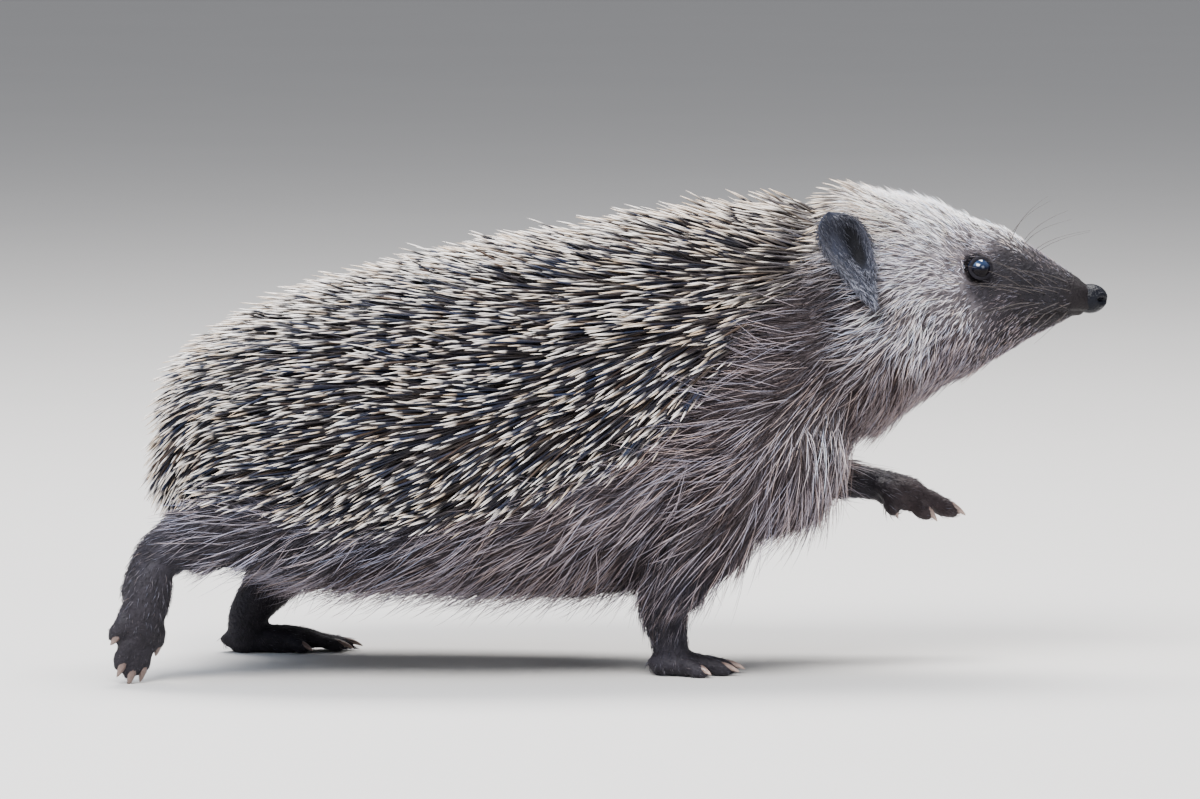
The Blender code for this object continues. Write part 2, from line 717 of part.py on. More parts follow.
def make_head_and_neck(furred):
    head = copy_of(furred, "head_blank")
    keep_between(head, rear_cut=HEAD_REAR_CUT)
    largest_piece(head)
    neck = copy_of(furred, "neck")
    keep_between(neck, rear_cut=NECK_REAR_CUT, front_cut=HEAD_REAR_CUT)
    largest_piece(neck)
    finish_node(neck, "neck", "body_fur")
    make_head_parts(head)


def make_trunk(trunk):
    """Upper legs and tail come off the trunk, and the trunk is what is left."""
    keep_between(trunk, front_cut=NECK_REAR_CUT)
    for name, (centre, radii) in (("shoulder", SHOULDER), ("thigh", HAUNCH)):
        for side in (-1, 1):
            place = mirror_side(centre, side)
            cutter = add_tool("cutter", grown_ellipsoid(place, radii, 0.0))
            grown_cutter = add_tool("cutter", grown_ellipsoid(place, radii, GAP))
            piece = take_out(trunk, name, cutter, grown_cutter)
            finish_node(piece, name + "_" + side_of(side), "body_fur")
    tail = take_out(
        trunk, "tail", limb_box(TAIL_START, TAIL[-1][:3], 6.0), limb_box(TAIL_START, TAIL[-1][:3], 6.0, GAP)
    )
    finish_node(tail, "tail", "leg_fur")
    largest_piece(trunk)
    finish_node(trunk, "trunk", "body_fur")


def centre_on_floor():
    """Put the model's box centre over the origin."""
    xs = []
    ys = []
    for obj in MODEL.objects:
        xs += [vert.co.x for vert in obj.data.vertices]
        ys += [vert.co.y for vert in obj.data.vertices]
    shift = Matrix.Translation((-(min(xs) + max(xs)) / 2, -(min(ys) + max(ys)) / 2, 0))
    for obj in MODEL.objects:
        obj.data.transform(shift)


def build_hedgehog():
    blank = body_blank()
    make_ears(grown_copy(blank, "ear_seat", GAP))
    mantle, furred = split_by_line(blank, SKIRT_LINE, ((-140.0, 142.0),), "mantle")
    largest_piece(mantle)
    finish_node(mantle, "spine_mantle", "spines")
    make_legs(furred)
    make_head_and_neck(furred)
    make_trunk(furred)
    centre_on_floor()


empty_scene()
MODEL = new_collection("hedgehog")
TOOLS = new_collection("cutters")
MATERIALS = {name: make_material(name) for name in COLOURS}
build_hedgehog()
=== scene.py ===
"""A hedgehog in mid-stride: skin, spines, hair, eyes, nose, ears, claws and whiskers.

Places are written in drawing millimetres: x forward, y to the animal's left, z up from the floor.
The drawing is tied to the model's frame at the middle of the nose pad.
"""
import math

import bmesh
import bpy
import numpy as np
from mathutils import Matrix, Vector
from mathutils.bvhtree import BVHTree
from mathutils.kdtree import KDTree


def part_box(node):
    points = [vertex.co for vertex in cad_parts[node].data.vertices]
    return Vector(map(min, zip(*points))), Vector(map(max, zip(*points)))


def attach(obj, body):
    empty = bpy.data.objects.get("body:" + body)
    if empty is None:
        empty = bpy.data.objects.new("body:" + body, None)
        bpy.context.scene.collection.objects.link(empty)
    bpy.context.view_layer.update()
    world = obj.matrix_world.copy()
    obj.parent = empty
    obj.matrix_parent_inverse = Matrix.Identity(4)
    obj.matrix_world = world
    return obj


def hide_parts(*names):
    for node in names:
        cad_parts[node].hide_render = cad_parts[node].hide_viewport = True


MM = 0.001
FAR_AWAY = 1e9
NOSE_ON_DRAWING = Vector((130.6, 0.0, 99.6))
RIGHT = -1
LEFT = 1
SIDES = ((RIGHT, "right"), (LEFT, "left"))

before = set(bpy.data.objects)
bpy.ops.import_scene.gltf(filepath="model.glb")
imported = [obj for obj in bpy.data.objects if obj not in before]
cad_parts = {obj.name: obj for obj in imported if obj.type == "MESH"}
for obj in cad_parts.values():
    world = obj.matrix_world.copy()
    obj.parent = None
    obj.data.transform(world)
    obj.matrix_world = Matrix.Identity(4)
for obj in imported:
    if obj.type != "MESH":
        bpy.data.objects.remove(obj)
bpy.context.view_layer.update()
nose_low, nose_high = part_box("nose")
DRAWING_ORIGIN = (nose_low + nose_high) / 2 - NOSE_ON_DRAWING * MM


def at(x, y, z):
    """A place on the drawing, in metres of the frame."""
    return Vector((x, y, z)) * MM + DRAWING_ORIGIN


def drawing_mm(points):
    """Frame metres back to drawing millimetres, for arrays of points."""
    return (np.asarray(points) - np.array(DRAWING_ORIGIN)) / MM


# ---- colours of skin and coat

CREAM = (0.96, 0.91, 0.87)
STRAW = (0.62, 0.45, 0.29)
SPINE_DARK = (0.012, 0.009, 0.010)
SPINE_BASE = (0.20, 0.165, 0.145)
BLUE_GLINT = (0.012, 0.018, 0.040)
BROWN_GLINT = (0.055, 0.035, 0.022)
SOOT = (0.016, 0.014, 0.018)
SLATE = (0.021, 0.019, 0.026)
UMBER = (0.038, 0.028, 0.031)
MOUSE = (0.072, 0.058, 0.067)
ASH = (0.265, 0.222, 0.248)
DUSK = (0.140, 0.130, 0.155)
SILVER = (0.425, 0.362, 0.400)
FROST = (0.920, 0.870, 0.950)
WHITE = (0.960, 0.920, 0.950)
IVORY = (0.950, 0.865, 0.820)
TAUPE = (0.300, 0.242, 0.250)
STEEL = (0.380, 0.350, 0.420)
PINK = (0.340, 0.190, 0.165)

# ---- mesh helpers


def new_mesh_object(name, mesh):
    obj = bpy.data.objects.new(name, mesh)
    bpy.context.scene.collection.objects.link(obj)
    return obj


def mesh_from_bmesh(name, bm):
    mesh = bpy.data.meshes.new(name)
    bm.to_mesh(mesh)
    bm.free()
    return mesh


def closed_mesh(name, bm):
    """The same with every face turned outward."""
    bmesh.ops.recalc_face_normals(bm, faces=bm.faces)
    return mesh_from_bmesh(name, bm)


def bridge(bm, rings, followers):
    """Four-sided faces from each ring of points to its follower."""
    for ring, follower in zip(rings, followers):
        for k in range(len(ring)):
            j = (k + 1) % len(ring)
            bm.faces.new((ring[k], ring[j], follower[j], follower[k]))


def wall_tube(bm, rings):
    """The wall and both end caps of a tube of rings."""
    bridge(bm, rings, rings[1:])
    bm.faces.new(rings[0][::-1])
    bm.faces.new(rings[-1])


def surface_of(mesh):
    """A mesh as a surface that nearest places can be asked of."""
    bm = bmesh.new()
    bm.from_mesh(mesh)
    tree = BVHTree.FromBMesh(bm)
    bm.free()
    return tree


def mesh_from_arrays(name, points, quads, triangles, smooth=True):
    """A mesh from arrays of points, four-sided and three-sided faces."""
    mesh = bpy.data.meshes.new(name)
    mesh.vertices.add(len(points))
    mesh.vertices.foreach_set("co", np.ascontiguousarray(points, dtype=np.float32).ravel())
    corners = np.concatenate([quads.ravel(), triangles.ravel()]).astype(np.int32)
    sizes = np.concatenate([np.full(len(quads), 4), np.full(len(triangles), 3)]).astype(np.int32)
    mesh.loops.add(len(corners))
    mesh.loops.foreach_set("vertex_index", corners)
    mesh.polygons.add(len(sizes))
    starts = np.concatenate([[0], np.cumsum(sizes)[:-1]])
    mesh.polygons.foreach_set("loop_start", starts.astype(np.int32))
    mesh.update(calc_edges=True)
    mesh.polygons.foreach_set("use_smooth", np.full(len(sizes), smooth))
    mesh.update()
    return mesh


def read_rows(items, key, width, kind=float):
    """One attribute of many mesh items as rows of an array."""
    values = np.empty(len(items) * width, dtype=kind)
    items.foreach_get(key, values)
    return values.reshape(-1, width)


def points_of(mesh):
    return read_rows(mesh.vertices, "co", 3)


def normals_of(mesh):
    return read_rows(mesh.vertices, "normal", 3)


def set_points(mesh, points):
    mesh.vertices.foreach_set("co", np.ascontiguousarray(points, dtype=np.float32).ravel())
    mesh.update()


def edges_of(mesh):
    return read_rows(mesh.edges, "vertices", 2, np.int32)


def spread(values, edges, rounds):
    """Blur values over a mesh, each vertex with its neighbours."""
    values = np.asarray(values, dtype=float)
    flat = values.reshape(len(values), -1)
    first, second = edges[:, 0], edges[:, 1]
    count = np.bincount(first, minlength=len(flat)) + np.bincount(second, minlength=len(flat))
    for _ in range(rounds):
        total = np.zeros_like(flat)
        for column in range(flat.shape[1]):
            total[:, column] = np.bincount(first, flat[second, column], len(flat))
            total[:, column] += np.bincount(second, flat[first, column], len(flat))
        flat = 0.5 * flat + 0.5 * total / np.maximum(count, 1)[:, None]
    return flat.reshape(values.shape)


def unit(vectors):
    return vectors / np.maximum(np.linalg.norm(vectors, axis=-1, keepdims=True), 1e-12)


def apply_modifiers(obj):
    depsgraph = bpy.context.evaluated_depsgraph_get()
    mesh = bpy.data.meshes.new_from_object(obj.evaluated_get(depsgraph))
    obj.modifiers.clear()
    obj.data = mesh


def join_to_mesh(name, meshes):
    bm = bmesh.new()
    for mesh in meshes:
        bm.from_mesh(mesh)
    return mesh_from_bmesh(name, bm)


def thin_out(obj, kept):
    thin = obj.modifiers.new("thin", "DECIMATE")
    thin.ratio = kept
    apply_modifiers(obj)


def remesh(obj, cell, smoothing):
    fuse = obj.modifiers.new("fuse", "REMESH")
    fuse.mode = "VOXEL"
    fuse.voxel_size = cell * MM
    soften = obj.modifiers.new("soften", "SMOOTH")
    soften.factor = 0.5
    soften.iterations = smoothing
    apply_modifiers(obj)


def set_colours(mesh, colours):
    """Write linear colours to the mesh's coat_colour attribute, one per point."""
    layer = mesh.color_attributes.new("coat_colour", "FLOAT_COLOR", "POINT")
    padded = np.ones((len(colours), 4), dtype=np.float32)
    padded[:, :3] = colours
    layer.data.foreach_set("color", padded.ravel())


def smooth_curve(points, share):
    """A place at a share (0 to 1) of the smooth curve through points of any dimension."""
    last = len(points) - 1
    place = min(max(share, 0.0), 1.0) * last
    k = min(int(place), last - 1)
    t = place - k
    p1 = np.array(points[k])
    p2 = np.array(points[k + 1])
    p0 = np.array(points[k - 1]) if k > 0 else p1
    p3 = np.array(points[k + 2]) if k + 2 <= last else p2
    cubic = 3 * p1 - p0 - 3 * p2 + p3
    return 0.5 * (2 * p1 + (p2 - p0) * t + (2 * p0 - 5 * p1 + 4 * p2 - p3) * t * t + cubic * t ** 3)


def tube_mesh(path, sides):
    """A closed tube along (x, y, z, radius) drawing points."""
    path = np.array([tuple(point) for point in path])
    centres = path[:, :3]
    along = unit(np.gradient(centres, axis=0))
    helper = np.array((0.0, 0.0, 1.0)) if abs(along[0, 2]) < 0.8 else np.array((0.0, 1.0, 0.0))
    bm = bmesh.new()
    rings = []
    for centre, direction, radius in zip(centres, along, path[:, 3]):
        across = unit(np.cross(direction, helper))
        up = np.cross(across, direction)
        ring = []
        for k in range(sides):
            angle = 2 * math.pi * k / sides
            point = centre + radius * (across * math.cos(angle) + up * math.sin(angle))
            ring.append(bm.verts.new(at(*point)))
        rings.append(ring)
    wall_tube(bm, rings)
    return closed_mesh("tube", bm)


def rounded_path(points):
    """The same path with points of shrinking radius beyond both ends."""
    path = [np.array(point, dtype=float) for point in points]
    for end, inner in ((-1, -2), (0, 1)):
        tip = path[end][:3]
        radius = path[end][3]
        outward = unit(tip - path[inner][:3])
        caps = []
        for degrees in (25.0, 48.0, 68.0, 84.0):
            turn = math.radians(degrees)
            caps.append(np.append(tip + outward * radius * math.sin(turn), radius * math.cos(turn)))
        path = path + caps if end == -1 else caps[::-1] + path
    return path


def smooth_tube(line, steps, sides):
    """A tube with rounded ends along the smooth curve through a few (x, y, z, radius) points."""
    return tube_mesh(rounded_path([smooth_curve(line, k / steps) for k in range(steps + 1)]), sides)


def ellipsoid_mesh(centre, radii, segments, rings, turn=None):
    bm = bmesh.new()
    bmesh.ops.create_uvsphere(bm, u_segments=segments, v_segments=rings, radius=MM)
    place = Matrix.Translation(at(*centre))
    bm.transform(place @ (turn or Matrix.Identity(4)) @ Matrix.Diagonal((*radii, 1.0)))
    return mesh_from_bmesh("ellipsoid", bm)


# ---- feet

# Toes, inner to outer: root as a share of the sole, length, turn outward, downward pitch (degrees).
STANDING_FORE_TOES = (
    (0.50, 4.5, -46.0, 8.0), (0.78, 8.0, -20.0, 4.0), (0.86, 9.5, -2.0, 3.0),
    (0.80, 8.6, 15.0, 4.0), (0.55, 6.0, 38.0, 8.0),
)
REACHING_FORE_TOES = (
    (0.16, 4.6, -16.0, 52.0), (0.50, 8.0, -10.0, 20.0), (0.86, 9.6, -3.0, 3.0),
    (0.84, 9.0, 7.0, 6.0), (0.60, 6.5, 24.0, 26.0),
)
STANDING_HIND_TOES = (
    (0.62, 5.0, -34.0, 10.0), (0.84, 9.0, -13.0, 4.0), (0.88, 10.5, 0.0, 3.0),
    (0.84, 9.5, 13.0, 4.0), (0.66, 6.0, 30.0, 10.0),
)
PUSHING_HIND_TOES = (
    (0.72, 5.2, -15.0, -4.0), (0.88, 8.0, -6.0, -10.0), (0.92, 8.4, 0.0, -12.0),
    (0.88, 7.6, 6.0, -10.0), (0.68, 5.4, 17.0, -2.0),
)

# Feet: heel, direction of the toes, direction of the back, sole length, width, height, claw,
# toe radius as a share of the width, toes.
FEET = {
    "forefoot_right": (
        (12.5, -19.5, 0.0), (1.0, 0.12, 0.0), (0.0, 0.0, 1.0), 14.0, 12.4, 6.4, 5.0, 0.185,
        STANDING_FORE_TOES),
    "forefoot_left": (
        (74.0, 28.5, 42.4), (0.965, 0.0, -0.24), (0.24, 0.0, 0.965), 13.5, 12.0, 8.0, 5.0, 0.22,
        REACHING_FORE_TOES),
    "hind_foot_right": (
        (-121.0, -35.5, 33.4), (-0.26, 0.04, -0.96), (0.50, -0.84, -0.17), 25.0, 12.4, 8.4, 4.6, 0.205,
        PUSHING_HIND_TOES),
    "hind_foot_left": (
        (-103.5, 33.0, 0.0), (1.0, 0.10, 0.0), (0.0, 0.0, 1.0), 26.0, 10.5, 7.0, 5.0, 0.185,
        STANDING_HIND_TOES),
}

# Where each leg runs into its foot: x, y, z, radius.
ANKLES = {
    "forefoot_right": ((15.5, -25.0, 22.0, 6.4), (16.5, -20.5, 12.0, 5.2), (18.0, -19.5, 4.0, 4.6)),
    "forefoot_left": ((64.0, 29.5, 48.0, 4.6), (75.0, 28.5, 46.6, 4.3), (83.0, 28.0, 44.6, 4.0)),
    "hind_foot_right": ((-111.5, -36.0, 38.5, 7.6), (-119.5, -35.5, 33.0, 6.2), (-124.0, -34.5, 24.0, 5.2)),
    "hind_foot_left": ((-92.0, 35.0, 19.0, 6.8), (-98.0, 33.5, 11.0, 5.4), (-99.0, 33.0, 4.0, 5.0)),
}


CLAW_STEPS = 10
CLAW_SIDES = 10
FORE_HORN = 0.80  # brightness of the horn at the tips of the claws
HIND_HORN = 0.42


class Foot:
    """The shapes of one foot, worked out from its row in FEET."""

    def __init__(self, name):
        heel, forward, up, self.sole, self.width, self.height, self.claw, share, self.toes = FEET[name]
        self.name = name
        self.outward = LEFT if name.endswith("left") else RIGHT
        self.toe_radius = self.width * share
        x_axis = Vector(forward).normalized()
        z_axis = Vector(up)
        z_axis = (z_axis - x_axis * z_axis.dot(x_axis)).normalized()
        y_axis = z_axis.cross(x_axis)
        self.turn = Matrix((x_axis, y_axis, z_axis)).transposed().to_4x4()
        self.frame = Matrix.Translation(Vector(heel)) @ self.turn

    def toe_line(self, k):
        """Root and direction of toe k in the foot's own axes."""
        start, length, turn, pitch = self.toes[k]
        slot = (k - 2) / 2
        root = Vector((self.sole * start, slot * 0.40 * self.width * self.outward, 0.36 * self.height))
        yaw = math.radians(turn * self.outward)
        dip = math.radians(pitch)
        out = Vector((math.cos(dip) * math.cos(yaw), math.cos(dip) * math.sin(yaw), -math.sin(dip)))
        return root, out, length

    def toe_mesh(self, k):
        """A toe with its knuckle and the swell of its end pad."""
        root, out, length = self.toe_line(k)
        radius = self.toe_radius
        steps = ((-0.35, 0.0, 0.95), (0.0, 0.22, 0.93), (0.26, 0.40, 1.04), (0.48, 0.28, 0.90),
                 (0.70, 0.06, 0.98), (0.88, -0.08, 0.92), (0.98, -0.14, 0.70))
        path = []
        for share, lift, scale in steps:
            place = self.frame @ (root + out * length * share + Vector((0, 0, lift * radius)))
            path.append((*place, radius * scale))
        return tube_mesh(rounded_path(path), 14)

    def claw_mesh(self, k):
        """A claw: deep at its root, curving down to a blunt point."""
        root, out, length = self.toe_line(k)
        slot = (k - 2) / 2
        nail = self.claw * (1 - 0.30 * slot * slot)
        start = root + out * length * 0.80 + Vector((0, 0, 0.34 * self.toe_radius))
        path = []
        for step in range(CLAW_STEPS + 1):
            share = step / CLAW_STEPS
            drop = Vector((0, 0, -0.34 * nail * share * share + 0.10 * nail * share))
            place = self.frame @ (start + out * (nail * 1.10) * share + drop)
            path.append((*place, self.toe_radius * 0.52 * (1 - share) ** 0.75 + 0.12))
        return tube_mesh(path, CLAW_SIDES)

    def flesh(self):
        """Sole, pads, toes and ankle as loose overlapping forms."""
        centre = self.frame @ Vector((0.46 * self.sole, 0, 0.5 * self.height))
        radii = (0.56 * self.sole, 0.5 * self.width, 0.56 * self.height)
        pieces = [ellipsoid_mesh(centre, radii, 32, 20, self.turn)]
        pieces += [self.toe_mesh(k) for k in range(5)]
        pads = [(0.16, 0.0, 1.0), (0.58, -0.46, 0.9), (0.70, 0.0, 1.0), (0.58, 0.46, 0.9)]
        for share, slot, size in pads:
            pad = self.frame @ Vector((share * self.sole, slot * 0.62 * self.width, 0.10 * self.height))
            radii = (0.14 * self.sole * size, 0.17 * self.width * size, 0.22 * self.height)
            pieces.append(ellipsoid_mesh(pad, radii, 16, 10, self.turn))
        pieces.append(smooth_tube(ANKLES[self.name], 8, 20))
        return pieces


# ---- the skin

# Depth of the coat over the skin at each named part of the body, in millimetres.
COAT_DEPTH = {
    "spine_mantle": 8.0, "trunk": 6.0, "neck": 5.0, "shoulder_left": 5.0, "shoulder_right": 5.0,
    "thigh_left": 4.5, "thigh_right": 4.5, "head": 2.3, "snout": 0.7, "lower_jaw": 1.3,
    "foreleg_left": 1.3, "foreleg_right": 1.6, "hind_leg_left": 1.4, "hind_leg_right": 1.6, "tail": 1.0,
}
FLESH = tuple(COAT_DEPTH)
FEET_NODES = tuple(FEET)
NODE_SWELL = 0.25  # closes the parting cuts before the nodes are fused
FORM_CELL = 1.5
SKIN_CELL = 0.8
SKIN_KEPT = 0.5  # share of the fused faces that is kept
DEPTH_BLUR = 9
# Flesh inside the legs where a deep coat would leave them too thin: x, y, z, radius.
LEG_CORES = (
    ((46.0, 22.0, 56.0, 12.0), (50.0, 28.0, 50.0, 8.0), (64.0, 29.5, 48.0, 4.9), (75.0, 28.5, 46.6, 4.3)),
    ((30.0, -27.0, 40.0, 9.5), (22.0, -27.0, 30.0, 7.6), (15.5, -25.0, 21.0, 6.4), (16.5, -20.5, 12.0, 5.2)),
    ((-96.0, -33.0, 43.0, 9.5), (-110.0, -36.0, 38.5, 7.4), (-119.5, -35.5, 33.5, 5.8)),
    ((-80.0, 34.0, 34.0, 10.0), (-92.0, 35.0, 19.0, 7.0), (-98.0, 33.5, 11.0, 5.2)),
)
# Flesh behind the nose pad: middle and radii.
SNOUT_CORE = ((126.8, 0.0, 99.8), (5.4, 4.95, 4.75))
EYE_MIDDLE = Vector((99.9, 14.2, 108.9))
EYE_RADIUS = 3.05
MOUTH_LINE = ((133.2, 96.6), (129.0, 96.0), (122.0, 96.6), (115.0, 95.2), (109.5, 92.4), (106.5, 89.5))


def swollen_copy(node):
    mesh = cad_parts[node].data.copy()
    bm = bmesh.new()
    bm.from_mesh(mesh)
    bmesh.ops.remove_doubles(bm, verts=bm.verts, dist=0.00001)
    bm.normal_update()
    for vert in bm.verts:
        vert.co += vert.normal * NODE_SWELL * MM
    return mesh_from_bmesh("swollen", bm)


def coat_form():
    """All flesh nodes fused into one form out to the tips of the coat."""
    flesh = [swollen_copy(node) for node in FLESH]
    form = new_mesh_object("coat_form", join_to_mesh("coat_form", flesh))
    remesh(form, FORM_CELL, 5)
    return form


def nearest_node(points):
    """The index in FLESH of the node whose surface is nearest to each point."""
    best = np.full(len(points), FAR_AWAY)
    found = np.zeros(len(points), dtype=int)
    for index, node in enumerate(FLESH):
        surface = surface_of(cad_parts[node].data)
        for k, point in enumerate(points):
            hit = surface.find_nearest(Vector(point), best[k])
            if hit[0] is not None and hit[3] < best[k]:
                best[k] = hit[3]
                found[k] = index
    return found


def sunk_form(form):
    """The form's surface moved in by the coat's depth, with the node under each point."""
    mesh = form.data
    points = points_of(mesh)
    edges = edges_of(mesh)
    labels = nearest_node(points)
    depth = spread(np.array([COAT_DEPTH[node] for node in FLESH])[labels], edges, DEPTH_BLUR)
    normals = unit(spread(normals_of(mesh), edges, 6))
    sunk = points - normals * depth[:, None] * MM
    sunk = spread(sunk, edges, 3)
    return sunk, labels


def push_along_normals(mesh, amounts):
    set_points(mesh, points_of(mesh) + normals_of(mesh) * amounts[:, None] * MM)


def distance_to_line(places, line):
    """Distance in the side view from each place to a line of (x, z) points, and the share along it."""
    best = np.full(len(places), FAR_AWAY)
    share = np.zeros(len(places))
    flat = places[:, [0, 2]]
    for k, (start, end) in enumerate(zip(line, line[1:])):
        start = np.array(start)
        run = np.array(end) - start
        t = np.clip(((flat - start) @ run) / (run @ run), 0, 1)
        gap = np.linalg.norm(flat - start - t[:, None] * run, axis=1)
        closer = gap < best
        best[closer] = gap[closer]
        share[closer] = (k + t[closer]) / (len(line) - 1)
    return best, share


def bump_profile(distance, radius):
    return np.exp(-((distance / radius) ** 2))


def eye_centre(side):
    return np.array(EYE_MIDDLE) * (1, side, 1)


def from_eye(places, side):
    return np.linalg.norm(places - eye_centre(side), axis=1)


def shape_face(mesh):
    """Mouth line, lips, eye sockets, brow and whisker pads, pressed into the fused skin."""
    places = drawing_mm(points_of(mesh))
    amounts = np.zeros(len(places))
    to_mouth, share = distance_to_line(places, MOUTH_LINE)
    front = (places[:, 0] > 100) & (places[:, 2] < 108)
    amounts -= 0.75 * bump_profile(to_mouth, 0.65) * front * (1 - 0.55 * share)
    lip = places[:, 2] - 97.0
    amounts += 0.30 * bump_profile(to_mouth - 1.6, 0.9) * front * (lip > -1.0)
    for side, _ in SIDES:
        away = from_eye(places, side)
        amounts -= 1.0 * bump_profile(away, 3.3)
        amounts += 0.35 * bump_profile(away - 4.4, 1.0)
        brow = np.linalg.norm((places - eye_centre(side) - (-0.6, 0.0, 4.8)) / (1.5, 1.4, 1.0), axis=1)
        amounts += 0.45 * bump_profile(brow, 2.2)
        pad = np.linalg.norm((places - (121.0, 6.0 * side, 100.5)) / (1.8, 1.2, 1.0), axis=1)
        amounts += 0.55 * bump_profile(pad, 3.0)
    amounts -= 0.12 * np.clip((places[:, 0] - 120.5) / 5.0, 0, 1)
    push_along_normals(mesh, amounts)


def make_skin():
    form = coat_form()
    sunk, labels = sunk_form(form)
    body = form.data.copy()
    set_points(body, sunk)
    feet = [piece for name in FEET_NODES for piece in Foot(name).flesh()]
    cores = [smooth_tube(line, 12, 16) for line in LEG_CORES]
    cores.append(ellipsoid_mesh(*SNOUT_CORE, 24, 16))
    skin = new_mesh_object("skin", join_to_mesh("skin", [body] + feet + cores))
    remesh(skin, SKIN_CELL, 2)
    shape_face(skin.data)
    points = points_of(skin.data)
    points[:, 2] = np.maximum(points[:, 2], 0.0)
    set_points(skin.data, points)
    thin_out(skin, SKIN_KEPT)
    skin.data.shade_smooth()
    bpy.data.objects.remove(form, do_unlink=True)
    return skin, sunk, labels


# ---- the lie of the coat

